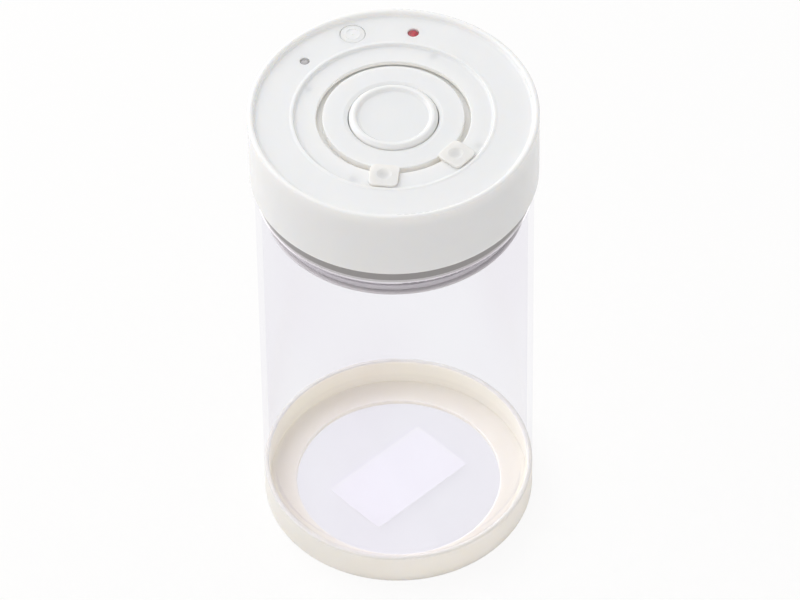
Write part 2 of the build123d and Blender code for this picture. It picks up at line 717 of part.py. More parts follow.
def date_slider(angle):
    """A tab that rides round the ring slot: a plate on top, a neck and a foot under the panel."""
    over_hub_z = hub_z + SLIDE_GAP
    plate_z = over_hub_z + SLIDER_TOP
    length = SLIDER_OUTER_R - SLIDER_INNER_R
    outline = Pos((SLIDER_INNER_R + SLIDER_OUTER_R) / 2, 0) * RectangleRounded(
        length, SLIDER_WIDTH, SLIDER_CORNER)
    tab = Pos(0, 0, dial_z + SLIDE_GAP) * extrude(outline, plate_z - dial_z - SLIDE_GAP)
    tab = fillet(tab.faces().sort_by(Axis.Z)[-1].edges(), SLIDER_EDGE_ROUND)
    neck_inner_r = HUB_R + SLIDE_GAP
    tab -= rod(neck_inner_r, dial_z - OVERRUN, over_hub_z)
    ball_r = (DIMPLE_R ** 2 + DIMPLE_DEPTH ** 2) / (2 * DIMPLE_DEPTH)
    tab -= Pos(DIMPLE_PLACE_R, 0, plate_z - DIMPLE_DEPTH + ball_r) * Sphere(ball_r)
    half = SLIDER_NECK_WIDTH / 2
    strip = block((0, -half, foot_low_z - OVERRUN), (SLIDER_OUTER_R, half, over_hub_z))
    neck = ring(neck_inner_r, SLOT_OUTER_R - SLIDE_GAP, foot_low_z, over_hub_z) & strip
    foot = ring(neck_inner_r, SLIDER_FOOT_R, foot_low_z, foot_top_z) & strip
    return Rot(Z=angle) * (tab + neck + foot)


def start_key():
    """Round key in the panel, with a raised ring and a dot, and a stem that reaches its switch."""
    flange_z = under_panel_z - EASE
    mark_z = panel_z + KEY_MARK_RISE
    stem_z = board_z + SWITCH_HEIGHT + PLUNGER_PROUD
    key = turned([
        (0, mark_z),
        (KEY_DOT_R, mark_z),
        (KEY_DOT_R, panel_z),
        (KEY_MARK_R - KEY_MARK_WIDTH, panel_z),
        (KEY_MARK_R - KEY_MARK_WIDTH, mark_z),
        (KEY_MARK_R, mark_z),
        (KEY_MARK_R, panel_z),
        (KEY_R, panel_z, KEY_EDGE_ROUND),
        (KEY_R, flange_z),
        (KEY_FLANGE_R, flange_z),
        (KEY_FLANGE_R, flange_z - KEY_FLANGE),
        (KEY_STEM_R, flange_z - KEY_FLANGE),
        (KEY_STEM_R, stem_z),
        (0, stem_z),
    ])
    return at(KEY_PLACE_R, BACK_ANGLE) * key


def key_switch():
    """Small square switch on the board, hollow where its plunger goes down."""
    half = SWITCH_SIZE / 2
    top = board_z + SWITCH_HEIGHT
    depth = PLUNGER_LENGTH - PLUNGER_PROUD + KEY_TRAVEL + EASE
    body = block((-half, -half, board_z), (half, half, top))
    return at(KEY_PLACE_R, BACK_ANGLE) * (body - rod(PLUNGER_R + FIT, top - depth, top + OVERRUN))


def switch_plunger():
    """The round plunger of the switch, which the key's stem pushes."""
    top = board_z + SWITCH_HEIGHT + PLUNGER_PROUD
    return at(KEY_PLACE_R, BACK_ANGLE) * rod(PLUNGER_R, top - PLUNGER_LENGTH, top)


def light(side, radius):
    """An indicator light that fills its hole in the panel, a little below the surface."""
    top = panel_z - LIGHT_SINK
    low = top - LIGHT_LENGTH
    flange_r = radius + LIGHT_FLANGE_EXTRA
    lens = turned([
        (0, low),
        (flange_r, low),
        (flange_r, low + LIGHT_FLANGE),
        (radius, low + LIGHT_FLANGE),
        (radius, top, LIGHT_DOME_ROUND),
        (0, top),
    ])
    return at(LIGHT_PLACE_R, BACK_ANGLE + side * LIGHT_SPREAD) * lens


def light_leads():
    """The four wire legs that hold the two lights on the board."""
    leads = Part()
    for side in (-1, 1):
        place = at(LIGHT_PLACE_R, BACK_ANGLE + side * LIGHT_SPREAD)
        for shift in (-LEAD_SPREAD, LEAD_SPREAD):
            leads += place * Pos(0, shift, 0) * rod(LEAD_R, board_z, panel_z - LIGHT_SINK - LIGHT_LENGTH)
    return leads


def control_board():
    """Circuit board under the panel, on two bosses of the cover."""
    board = BACK * sector(BOARD_INNER_R, BOARD_OUTER_R, board_low_z, board_z, BOARD_SPAN)
    for side in (-1, 1):
        board -= at(BOARD_SCREW_R, BACK_ANGLE + side * BOARD_SCREW_SPREAD) * rod(
            SCREW_SHANK_R + EASE, board_low_z - OVERRUN, board_z + OVERRUN)
    return board


def board_parts():
    """Chip, capacitor and resistors under the board."""
    half = CHIP_SIZE / 2
    chip_low_z = board_low_z - CHIP_HEIGHT
    parts = at(CHIP_PLACE_R, BACK_ANGLE) * block((-half, -half, chip_low_z), (half, half, board_low_z))
    parts += at(CAPACITOR_PLACE_R, BACK_ANGLE + CAPACITOR_ANGLE) * rod(
        CAPACITOR_R, board_low_z - CAPACITOR_HEIGHT, board_low_z)
    for angle in RESISTOR_ANGLES:
        parts += at(RESISTOR_PLACE_R, BACK_ANGLE + angle) * block(
            (-RESISTOR_LENGTH / 2, -RESISTOR_WIDTH / 2, board_low_z - RESISTOR_HEIGHT),
            (RESISTOR_LENGTH / 2, RESISTOR_WIDTH / 2, board_low_z))
    return parts


def screws_at(places, length):
    """A group of equal screws, heads down, each at a place."""
    group = Part()
    for place in places:
        group += place * screw(length)
    return group


def cover_screws():
    """Screws up through the chassis into the cover, hidden by the gasket's flange."""
    lift = Pos(0, 0, band_z + SCREW_HEAD)
    return screws_at([at(COVER_SCREW_R, angle) * lift for angle in SCREW_ANGLES], COVER_SCREW_LENGTH)


def dial_screws():
    """Screws up through the hub's flange into the cover."""
    lift = Pos(0, 0, flange_low_z)
    return screws_at([at(HUB_SCREW_R, angle) * lift for angle in SCREW_ANGLES], HUB_SCREW_LENGTH)


def board_screws():
    """Screws up through the board into the cover."""
    lift = Pos(0, 0, board_low_z)
    angles = [BACK_ANGLE + side * BOARD_SCREW_SPREAD for side in (-1, 1)]
    return screws_at([at(BOARD_SCREW_R, angle) * lift for angle in angles], BOARD_SCREW_LENGTH)


def door_screws():
    """Screws up through the battery door."""
    height = plug_low_z + DOOR_SINK
    places = [FRONT * Pos(door_screw_x, side * door_screw_y, height) for side in (-1, 1)]
    return screws_at(places, DOOR_SCREW_LENGTH)


def pump_screws():
    """Screws down through the clamp's ears into the posts."""
    height = pump_z + STRAP_THICK
    places = [
        BACK * Pos(PUMP_X + side * post_out, motor_mid_y, height) * Rot(X=180) for side in (-1, 1)]
    return screws_at(places, PUMP_SCREW_LENGTH)


def battery_box():
    """Box over the cells, open to the door below, with a hole for the wires in one end."""
    outer = block(
        (BOX_X, -box_half_y - BOX_WALL, floor_z),
        (box_far_x + BOX_WALL, box_half_y + BOX_WALL, box_top_z + BOX_WALL))
    inner = block(
        (box_inner_x, -box_half_y, floor_z - OVERRUN), (box_far_x, box_half_y, box_top_z))
    hole = Pos(cell_x[0], -box_half_y + OVERRUN, cell_z[1]) * Rot(X=90) * Cylinder(
        WIRE_HOLE_R, BOX_WALL + 2 * OVERRUN, align=ON_BASE)
    return FRONT * (outer - inner - hole)


def batteries():
    """Four cells in two layers, each beside one that lies the other way."""
    cells = Part()
    barrel = Cylinder(CELL_R, CELL_LENGTH - CELL_NUB, align=ON_BASE)
    barrel = fillet(barrel.edges(), CELL_NUB / 2)
    cell = barrel + rod(CELL_NUB_R, CELL_LENGTH - 2 * CELL_NUB, CELL_LENGTH)
    cell = Pos(0, -CELL_LENGTH / 2, 0) * Rot(X=-90) * cell
    for column, x in enumerate(cell_x):
        for row, z in enumerate(cell_z):
            flip = Rot(Z=180 * ((column + row) % 2))
            cells += FRONT * Pos(x, 0, z) * flip * cell
    return cells


def battery_contacts():
    """Plates at the box's ends, with a coil or a tip that meets each cell."""
    contacts = Part()
    reach = CONTACT_SPACE - CONTACT_THICK - FIT
    half = CONTACT_WIDTH / 2
    for column, x in enumerate(cell_x):
        for side in (-1, 1):
            plate = block(
                (x - half, box_half_y - CONTACT_THICK, cell_z[0] - half),
                (x + half, box_half_y, cell_z[1] + half))
            for row, z in enumerate(cell_z):
                is_coil = (column + row) % 2 == (side + 1) // 2
                root_r = CONTACT_COIL_R if is_coil else CONTACT_TIP_R
                tip = Cone(root_r, CONTACT_TIP_R / 2, reach, align=ON_BASE)
                plate += Pos(x, box_half_y - CONTACT_THICK, z) * Rot(X=90) * tip
            turn = Pos(x, 0, 0) * Rot(Z=90 * (1 - side)) * Pos(-x, 0, 0)
            contacts += FRONT * turn * plate
    return contacts


def battery_door():
    """Door under the lid over the cells, flush with the chassis."""
    door = door_plate(FIT + EASE / 2, plug_low_z, plug_low_z + DOOR_THICK)
    for side in (-1, 1):
        place = Pos(door_screw_x, side * door_screw_y, 0)
        door -= place * rod(SCREW_SHANK_R + EASE, plug_low_z - OVERRUN, recess_z)
        door -= place * rod(SCREW_HEAD_R + EASE, plug_low_z - OVERRUN, plug_low_z + DOOR_SINK)
    return FRONT * door


def door_gasket():
    """Thin silicone loop between the door and the chassis round the cells' opening."""
    low = plug_low_z + DOOR_THICK
    gap = EASE
    width = DOOR_GASKET_WIDTH
    outer = block(
        (box_inner_x - gap - width, -box_half_y - gap - width, low),
        (box_far_x + gap + width, box_half_y + gap + width, recess_z))
    inner = block(
        (box_inner_x - gap, -box_half_y - gap, low - OVERRUN),
        (box_far_x + gap, box_half_y + gap, recess_z + OVERRUN))
    return FRONT * (outer - inner)


def pump_motor():
    """Small motor can with its front boss, bored for the shaft."""
    rear_y = MOTOR_FRONT_Y + MOTOR_LENGTH
    can = fillet(lying(MOTOR_R, MOTOR_FRONT_Y, rear_y).edges(), MOTOR_EDGE_ROUND)
    can += lying(MOTOR_BOSS_R, MOTOR_FRONT_Y + OVERRUN, MOTOR_FRONT_Y - MOTOR_BOSS)
    can += lying(MOTOR_BOSS_R, rear_y - OVERRUN, rear_y + MOTOR_BOSS)
    bore = lying(SHAFT_R + FIT, MOTOR_FRONT_Y + SHAFT_DEPTH, MOTOR_FRONT_Y - MOTOR_BOSS - OVERRUN)
    return BACK * (can - bore)


def motor_shaft():
    """The motor's shaft, from inside the can to inside the crank."""
    return BACK * lying(SHAFT_R, MOTOR_FRONT_Y + SHAFT_DEPTH - EASE, crank_end_y + CASE_WALL)


def pump_crank():
    """Crank disc on the shaft, with the pin that swings the plate."""
    crank = lying(CRANK_R, crank_y, crank_end_y)
    crank += around_pump(CRANK_PIN_OFFSET, 0) * lying(
        CRANK_PIN_R, crank_end_y + CRANK_GAP, crank_end_y - CRANK_PIN + CRANK_GAP)
    return BACK * (crank - lying(SHAFT_R + FIT, crank_y + OVERRUN, crank_end_y + CASE_WALL - EASE))


def pump_crankcase():
    """Round housing on the motor's face, hollow for the crank."""
    case = lying(PUMP_R, MOTOR_FRONT_Y, case_y)
    case -= lying(PUMP_R - CASE_WALL, MOTOR_FRONT_Y - CASE_WALL, case_y - OVERRUN)
    case -= lying(MOTOR_BOSS_R + EASE / 2, MOTOR_FRONT_Y + OVERRUN, MOTOR_FRONT_Y - CASE_LENGTH / 2)
    return BACK * case


def pump_swing_plate():
    """Plate that the crank's pin swings, with a hole wide enough for the pin's circle."""
    hole_r = CRANK_PIN_OFFSET + CRANK_PIN_R + EASE
    plate = lying(SWING_R, swing_y, swing_end_y)
    return BACK * (plate - lying(hole_r, swing_y + OVERRUN, swing_end_y - OVERRUN))


def pump_diaphragm():
    """Rubber sheet with three cups that the swing plate works."""
    sheet = lying(PUMP_R, case_y, diaphragm_y)
    for turn in (90, 210, 330):
        sheet += around_pump(CUP_PLACE_R, turn) * lying(CUP_R, diaphragm_y + FIT, swing_end_y)
    return BACK * sheet


def pump_valve_plate():
    """Plate with an inlet and an outlet hole for each cup."""
    plate = lying(PUMP_R, diaphragm_y, valve_y)
    for turn in (90, 210, 330):
        for side in (-1, 1):
            place = around_pump(CUP_PLACE_R, turn) * Pos(side * VALVE_HOLE_R * 2, 0, 0)
            plate -= place * lying(VALVE_HOLE_R, diaphragm_y + OVERRUN, valve_y - OVERRUN)
    return BACK * plate


def pump_cap():
    """End cap with the suction nozzle, which points towards the middle of the lid."""
    cap = lying(PUMP_R, valve_y, cap_y)
    cap = fillet(cap.edges().sort_by(Axis.Y)[0], PUMP_CAP_ROUND)
    tip_x = PUMP_X - PUMP_R - NOZZLE_LENGTH
    place = Pos(tip_x, nozzle_y, pump_z) * Rot(Y=90)
    cap += place * Cylinder(NOZZLE_R, NOZZLE_LENGTH + PUMP_CAP, align=ON_BASE)
    bore = Pos(0, 0, -OVERRUN) * Cylinder(NOZZLE_BORE_R, NOZZLE_LENGTH + PUMP_R, align=ON_BASE)
    return BACK * (cap - place * bore)


def motor_sleeve():
    """Soft sleeve round the motor that keeps its hum out of the lid."""
    half = SLEEVE_LENGTH / 2
    sleeve = lying(sleeve_r, motor_mid_y - half, motor_mid_y + half)
    return BACK * (sleeve - lying(MOTOR_R + FIT, motor_mid_y - 2 * half, motor_mid_y + 2 * half))


def pump_clamp():
    """Strap over the motor with an ear on each post."""
    half = STRAP_WIDTH / 2
    low_y = motor_mid_y - half
    high_y = motor_mid_y + half
    outer_r = strap_r + STRAP_THICK
    ears = block(
        (PUMP_X - post_out - POST_R, low_y, pump_z),
        (PUMP_X + post_out + POST_R, high_y, pump_z + STRAP_THICK))
    strap = lying(outer_r, low_y, high_y) + ears
    strap -= lying(strap_r, low_y - OVERRUN, high_y + OVERRUN)
    strap -= block(
        (PUMP_X - 2 * outer_r, low_y - OVERRUN, pump_z - 2 * outer_r),
        (PUMP_X + 2 * outer_r, high_y + OVERRUN, pump_z))
    for side in (-1, 1):
        strap -= Pos(PUMP_X + side * post_out, motor_mid_y, 0) * rod(
            SCREW_SHANK_R + EASE, pump_z - OVERRUN, pump_z + STRAP_THICK + OVERRUN)
    return BACK * strap


def suction_port():
    """Small chamber over the check valve, with a spigot for the tube."""
    top = floor_z + PORT_HEIGHT
    port = turned([
        (PORT_R, floor_z),
        (PORT_R, top, PORT_WALL / 2),
        (NOZZLE_R, top),
        (NOZZLE_R, top + PORT_SPIGOT, EDGE_ROUND),
        (NOZZLE_BORE_R, top + PORT_SPIGOT),
        (NOZZLE_BORE_R, top - PORT_WALL),
        (PORT_R - PORT_WALL, top - PORT_WALL),
        (PORT_R - PORT_WALL, floor_z),
    ])
    return BACK * Pos(PORT_X, nozzle_y, 0) * port


def suction_tube():
    """Silicone tube from the pump's nozzle, round one bend and down over the port's spigot."""
    start = (PUMP_X - PUMP_R - SOFT_GAP, nozzle_y, pump_z)
    corner = (PORT_X, nozzle_y, pump_z)
    end = (PORT_X, nozzle_y, floor_z + PORT_HEIGHT + SOFT_GAP)
    path = FilletPolyline(start, corner, end, radius=TUBE_BEND)
    face = Plane(origin=start, z_dir=(-1, 0, 0))
    outer = sweep(face * Circle(TUBE_R), path=path)
    return BACK * (outer - sweep(face * Circle(NOZZLE_R + FIT), path=path))


def check_valve():
    """Silicone umbrella over the air holes, which lets air out of the jar and not back."""
    valve = turned([
        (0, plug_low_z - SOFT_GAP),
        (UMBRELLA_STEM_R, plug_low_z - SOFT_GAP),
        (UMBRELLA_STEM_R, floor_z),
        (UMBRELLA_R, floor_z, UMBRELLA_THICK / 4),
        (UMBRELLA_R / 2, floor_z + UMBRELLA_THICK),
        (0, floor_z + UMBRELLA_THICK),
    ])
    return BACK * Pos(PORT_X, nozzle_y, 0) * valve


def filter_cap():
    """Shallow cap under the lid that holds the filter, with a ring of holes."""
    low = plug_low_z - FILTER_CAP_HEIGHT
    inner_r = FILTER_CAP_R - FILTER_CAP_WALL
    cap = turned([
        (0, low),
        (FILTER_CAP_R, low, FILTER_CAP_ROUND),
        (FILTER_CAP_R, plug_low_z),
        (inner_r, plug_low_z),
        (inner_r, low + FILTER_CAP_FLOOR),
        (0, low + FILTER_CAP_FLOOR),
    ])
    hole = rod(FILTER_HOLE_R, low - OVERRUN, plug_low_z)
    cap -= hole
    for turn in range(6):
        cap -= at(FILTER_HOLE_PLACE_R, 60 * turn) * hole
    return BACK * Pos(PORT_X, nozzle_y, 0) * cap


def inlet_filter():
    """Foam disc that keeps crumbs out of the pump."""
    low = plug_low_z - FILTER_CAP_HEIGHT + FILTER_CAP_FLOOR
    disc_r = FILTER_CAP_R - FILTER_CAP_WALL - EASE
    return BACK * Pos(PORT_X, nozzle_y, 0) * rod(disc_r, low, low + FILTER_THICK)


def wire(points):
    """A wire along points, with arcs as large as its runs allow."""
    places = [Vector(*point) for point in points]
    runs = [after - before for before, after in zip(places, places[1:])]
    bends = []
    for before, after in zip(runs, runs[1:]):
        half_turn = radians(before.get_angle(after) / 2)
        bends.append(WIRE_BEND_SHARE * min(before.length, after.length) / tan(half_turn))
    path = FilletPolyline(places, radius=bends)
    return sweep(Plane(origin=places[0], z_dir=runs[0]) * Circle(WIRE_R), path=path)


def wire_pair(start, exits, route):
    """Two wires side by side: out of a start face along Y, by a route, and up to the board."""
    wires = Part()
    wire_z = board_low_z - WIRE_DROP
    for side in (-1, 1):
        shift = Vector(side * WIRE_SPREAD, side * WIRE_SPREAD, -side * (WIRE_SPREAD + EASE))
        points = [Vector(*place) + shift for place in exits]
        points.insert(0, Vector(start[0] + shift.X, start[1], start[2] + shift.Z))
        for radius, angle in route:
            place = Vector(radius * cos(radians(angle)), radius * sin(radians(angle)), wire_z)
            points.append(place + shift)
        points.append(Vector(points[-1].X, points[-1].Y, board_low_z))
        wires += BACK * wire(points)
    return wires


def battery_wires():
    """Pair from the contacts in the battery box, over the box's end, to the board."""
    x = -cell_x[0]
    z = cell_z[1]
    exits = [(x, box_half_y + BATTERY_WIRE_OUT, z)]
    return wire_pair((x, box_half_y, z), exits, BATTERY_WIRE_ROUTE)


def motor_wires():
    """Pair from the motor's rear end to the board."""
    rear_y = MOTOR_FRONT_Y + MOTOR_LENGTH
    z = pump_z + MOTOR_WIRE_RISE
    out_y = rear_y + MOTOR_WIRE_OUT
    exits = [
        (PUMP_X, out_y, z),
        (PUMP_X + MOTOR_WIRE_LEAN, out_y, z + MOTOR_WIRE_OUT),
    ]
    return wire_pair((PUMP_X, rear_y, z), exits, MOTOR_WIRE_ROUTE)


NODES = {
    "jar": jar(),
    "base_ring": base_ring(),
    "base_sticker": base_sticker(),
    "lid_cover": lid_cover(),
    "dial_hub": dial_hub(),
    "dial_screws": dial_screws(),
    "lid_chassis": lid_chassis(),
    "cover_screws": cover_screws(),
    "mouth_gasket": mouth_gasket(),
    "battery_box": battery_box(),
    "batteries": batteries(),
    "battery_contacts": battery_contacts(),
    "battery_door": battery_door(),
    "door_gasket": door_gasket(),
    "door_screws": door_screws(),
    "pump_motor": pump_motor(),
    "motor_shaft": motor_shaft(),
    "pump_crank": pump_crank(),
    "pump_crankcase": pump_crankcase(),
    "pump_swing_plate": pump_swing_plate(),
    "pump_diaphragm": pump_diaphragm(),
    "pump_valve_plate": pump_valve_plate(),
    "pump_cap": pump_cap(),
    "motor_sleeve": motor_sleeve(),
    "pump_clamp": pump_clamp(),
    "pump_screws": pump_screws(),
    "suction_port": suction_port(),
    "suction_tube": suction_tube(),
    "check_valve": check_valve(),
    "inlet_filter": inlet_filter(),
    "filter_cap": filter_cap(),
    "control_board": control_board(),
    "board_parts": board_parts(),
    "battery_wires": battery_wires(),
    "motor_wires": motor_wires(),
    "board_screws": board_screws(),
    "key_switch": key_switch(),
    "switch_plunger": switch_plunger(),
    "running_light": light(-1, RUNNING_LIGHT_R),
    "status_light": light(1, STATUS_LIGHT_R),
    "light_leads": light_leads(),
    "release_button": release_button(),
    "button_stem": button_stem(),
    "valve_seal": valve_seal(),
    "button_spring": button_spring(),
    "start_key": start_key(),
    "left_date_slider": date_slider(LEFT_SLIDER_ANGLE),
    "right_date_slider": date_slider(RIGHT_SLIDER_ANGLE),
}

os.makedirs("parts", exist_ok=True)
for name, shape in NODES.items():
    export_step(shape, f"parts/{name}.step")
    print(name, len(shape.solids()), "solids", round(shape.volume, 1), "mm3")
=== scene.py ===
# %% [markdown]
# # A vacuum seal canister
# The object is a clear food jar that stands in a cream ring and is closed by a tall white lid. The
# lid holds a small pump, its batteries and its controls. Every piece arrives ready made and in
# place, as the frame, and only three of them are redrawn. So this lesson is about finish and light:
# what plastic, silicone, paper and plated steel look like, and how each can be written with a few
# nodes.
#
# One length unit matters throughout: Blender works in metres here, and the small sizes are given
# in millimetres by multiplying with `MM`.

import json
import math

import bpy
from mathutils import Matrix, Vector


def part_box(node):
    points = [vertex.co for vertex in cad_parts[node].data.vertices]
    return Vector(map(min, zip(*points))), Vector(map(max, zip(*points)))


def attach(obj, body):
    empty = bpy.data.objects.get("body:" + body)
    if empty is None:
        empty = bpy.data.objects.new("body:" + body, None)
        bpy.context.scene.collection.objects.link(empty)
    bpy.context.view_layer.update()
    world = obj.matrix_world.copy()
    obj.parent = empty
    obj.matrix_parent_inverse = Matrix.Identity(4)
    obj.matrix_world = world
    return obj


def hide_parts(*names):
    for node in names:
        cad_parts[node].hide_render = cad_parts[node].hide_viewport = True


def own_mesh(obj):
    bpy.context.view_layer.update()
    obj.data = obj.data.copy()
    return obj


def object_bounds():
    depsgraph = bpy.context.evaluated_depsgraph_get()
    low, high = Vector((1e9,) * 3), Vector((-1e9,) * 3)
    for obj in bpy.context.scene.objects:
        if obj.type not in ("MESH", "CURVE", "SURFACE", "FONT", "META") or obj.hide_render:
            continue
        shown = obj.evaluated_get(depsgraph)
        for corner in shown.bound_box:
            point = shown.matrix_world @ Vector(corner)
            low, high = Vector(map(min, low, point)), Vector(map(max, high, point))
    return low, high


MM = 0.001
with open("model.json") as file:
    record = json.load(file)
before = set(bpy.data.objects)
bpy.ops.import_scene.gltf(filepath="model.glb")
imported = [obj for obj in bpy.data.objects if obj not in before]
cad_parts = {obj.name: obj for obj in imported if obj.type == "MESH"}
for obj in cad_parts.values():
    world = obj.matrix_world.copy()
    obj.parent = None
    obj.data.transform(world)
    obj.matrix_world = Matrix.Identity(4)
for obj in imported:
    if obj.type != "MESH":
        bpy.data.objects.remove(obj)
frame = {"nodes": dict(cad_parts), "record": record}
cad_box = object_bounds()
nodes = frame["nodes"]
print("size in mm:", [round(side / MM, 1) for side in cad_box[1] - cad_box[0]])

# %% [markdown]
# ## The camera
# The photograph is a product shot from well above, through a long lens, so the jar's two sides
# stay nearly parallel. A lens can be found by trial, but four facts fix it better: how far away
# the camera stands, how high it looks down from, how many pixels wide one metre is at one metre,
# and where the jar's axis lands in the picture. The shift moves the picture by those few pixels
# without turning the camera, and the roll is the slight lean of the photograph.

# %% Place the camera
CAMERA_DISTANCE = 2.5
CAMERA_ELEVATION = math.radians(47.45)
CAMERA_ROLL = math.radians(-0.82)
FOCAL_PIXELS = 6707.4
AIM_HEIGHT = 101.5 * MM
AIM_PIXEL_X = 396.06
AIM_PIXEL_Y = 301.05
PICTURE_WIDTH = 800
PICTURE_HEIGHT = 600
SENSOR_WIDTH = 36.0


def place_camera():
    """A long lens that looks along +Y and down at the jar's axis."""
    lens = bpy.data.cameras.new("portrait_lens")
    lens.sensor_width = SENSOR_WIDTH
    lens.lens = FOCAL_PIXELS * SENSOR_WIDTH / PICTURE_WIDTH
    lens.shift_x = (PICTURE_WIDTH / 2 - AIM_PIXEL_X) / PICTURE_WIDTH
    lens.shift_y = (AIM_PIXEL_Y - PICTURE_HEIGHT / 2) / PICTURE_WIDTH
    right = Vector((1, 0, 0))
    up = Vector((0, math.sin(CAMERA_ELEVATION), math.cos(CAMERA_ELEVATION)))
    back = right.cross(up)
    rolled_right = right * math.cos(CAMERA_ROLL) + up * math.sin(CAMERA_ROLL)
    turn = Matrix((rolled_right, back.cross(rolled_right), back)).transposed()
    camera = bpy.data.objects.new("portrait_camera", lens)
    place = back * CAMERA_DISTANCE + Vector((0, 0, AIM_HEIGHT))
    camera.matrix_world = Matrix.Translation(place) @ turn.to_4x4()
    bpy.context.scene.collection.objects.link(camera)
    bpy.context.scene.camera = camera
    return camera


portrait = place_camera()
print("lens in mm:", round(portrait.data.lens, 2), "stands at:", portrait.location)

# %% [markdown]
# ## Node maths as plain Python
# A finish is a small sum: a base colour plus a little mottle, a roughness that is higher where a
# face looks up. Wiring such sums by hand hides them. So one class, `Wire`, stands for the end of
# a node and takes +, - and *, and each sign adds the node that does it. Numbers go through Math.
# Colours and places go through Vector Math, because Math would turn a colour grey.
#
# Every other node comes from one method, `Finish.node`: its type, then its settings, and then
# the values or wires of its sockets.

# %% A wire that can be added and multiplied
MOTTLE_LOW = 0.3
MOTTLE_HIGH = 0.7


class Wire:
    """The end of a node, which takes part in sums with numbers, colours and other wires."""

    def __init__(self, finish, socket):
        self.finish = finish
        self.socket = socket

    def is_number(self):
        return self.socket.type == "VALUE"

    def sum(self, operation, first, second):
        ends = [end for end in (first, second) if not isinstance(end, (int, float))]
        if all(isinstance(end, Wire) and end.is_number() for end in ends):
            return self.finish.node(
                "ShaderNodeMath", {"operation": operation}, {0: first, 1: second})
        places = [
            (end, end, end) if isinstance(end, (int, float)) else end for end in (first, second)]
        return self.finish.node(
            "ShaderNodeVectorMath", {"operation": operation}, {0: places[0], 1: places[1]})

    def __add__(self, other):
        return self.sum("ADD", self, other)

    def __radd__(self, other):
        return self.sum("ADD", other, self)

    def __sub__(self, other):
        return self.sum("SUBTRACT", self, other)

    def __rsub__(self, other):
        return self.sum("SUBTRACT", other, self)

    def __mul__(self, other):
        return self.sum("MULTIPLY", self, other)

    def __rmul__(self, other):
        return self.sum("MULTIPLY", other, self)

    def blend(self, low, high):
        """The colour low where this wire is 0, and the colour high where it is 1."""
        return self.finish.node(
            "ShaderNodeMix", {"data_type": "RGBA"}, {0: self, 6: low, 7: high}, out=2)

    def mottle(self, low, high):
        """Mostly one of two colours, with soft borders between them, where this wire is noise."""
        return self.step(MOTTLE_LOW, MOTTLE_HIGH).blend(low, high)

    def step(self, start, end):
        """0 below start and 1 above end, with a smooth ramp between them."""
        return self.finish.node(
            "ShaderNodeMapRange", {"interpolation_type": "SMOOTHSTEP"},
            {"Value": self, "From Min": start, "From Max": end})


class Finish:
    """The nodes of one material, or of the world, all made through node()."""

    def __init__(self, owner):
        owner.use_nodes = True
        self.owner = owner
        self.tree = owner.node_tree
        self.tree.nodes.clear()

    def node(self, kind, settings=None, sockets=None, out=0):
        """One node of that kind: settings first, then the values or wires of its sockets."""
        made = self.tree.nodes.new(kind)
        for name, value in (settings or {}).items():
            setattr(made, name, value)
        for name, value in (sockets or {}).items():
            if isinstance(value, Wire):
                self.tree.links.new(value.socket, made.inputs[name])
            else:
                made.inputs[name].default_value = value
        return Wire(self, made.outputs[out])

    def show(self, shader, kind="ShaderNodeOutputMaterial"):
        """Make this shader what the material or the world shows."""
        output = self.tree.nodes.new(kind)
        self.tree.links.new(shader.socket, output.inputs["Surface"])


def paint(red, green, blue):
    """A colour by its display values from 0 to 255, as the linear colour that a shader takes."""
    linear = []
    for value in (red, green, blue):
        share = value / 255
        linear.append(share / 12.92 if share <= 0.04045 else ((share + 0.055) / 1.055) ** 2.4)
    return (*linear, 1.0)


print("mid grey in linear light:", [round(part, 3) for part in paint(128, 128, 128)])

# %% [markdown]
# ## Table and light
# The real shot was made on a white table under soft light from the upper left. Brightening the
# lamps until the table is white would burn out a white lid. The usual way is to let the table
# glow only for rays that end in the picture: rays straight from the camera, and those that reach
# it by a gloss or through the clear jar. Light that falls on the canister itself isn't changed,
# and the table keeps part of its own shading, so the shadow stays. One trap is left: light that
# a piece inside the jar gets through the wall comes by a transmission ray too. Its path has had a
# diffuse bounce by then, so such paths are taken out again.
#
# Light that goes into the jar, down to the ring and out again crosses a dozen faces, and in a
# narrow groove of white plastic it bounces as often before it leaves. A path tracer gives up
# after a set number of steps and leaves the rest black, so the numbers for clear and for matt
# faces both go up.

# %% Lay the table
TABLE_SIZE = 12.0
TABLE_GAP = 0.05 * MM
TABLE_GLOW_SHARE = 0.88
TABLE_COLOUR = paint(250, 247, 244)
ROOM_STRENGTH = 0.62
WHITE = (1.0, 1.0, 1.0, 1.0)
BLACK = (0.0, 0.0, 0.0, 1.0)
CLEAR_BOUNCES = 24
MATT_BOUNCES = 16


def seen_rays(finish):
    """1 for rays that end in the picture and 0 for rays that light other things."""
    rays = [
        finish.node("ShaderNodeLightPath", out=name)
        for name in ("Is Camera Ray", "Is Glossy Ray", "Is Transmission Ray")]
    bounced = finish.node("ShaderNodeLightPath", out="Diffuse Depth").step(0, 1)
    return (rays[0] + rays[1] + rays[2]).step(0, 1) * (1 - bounced)


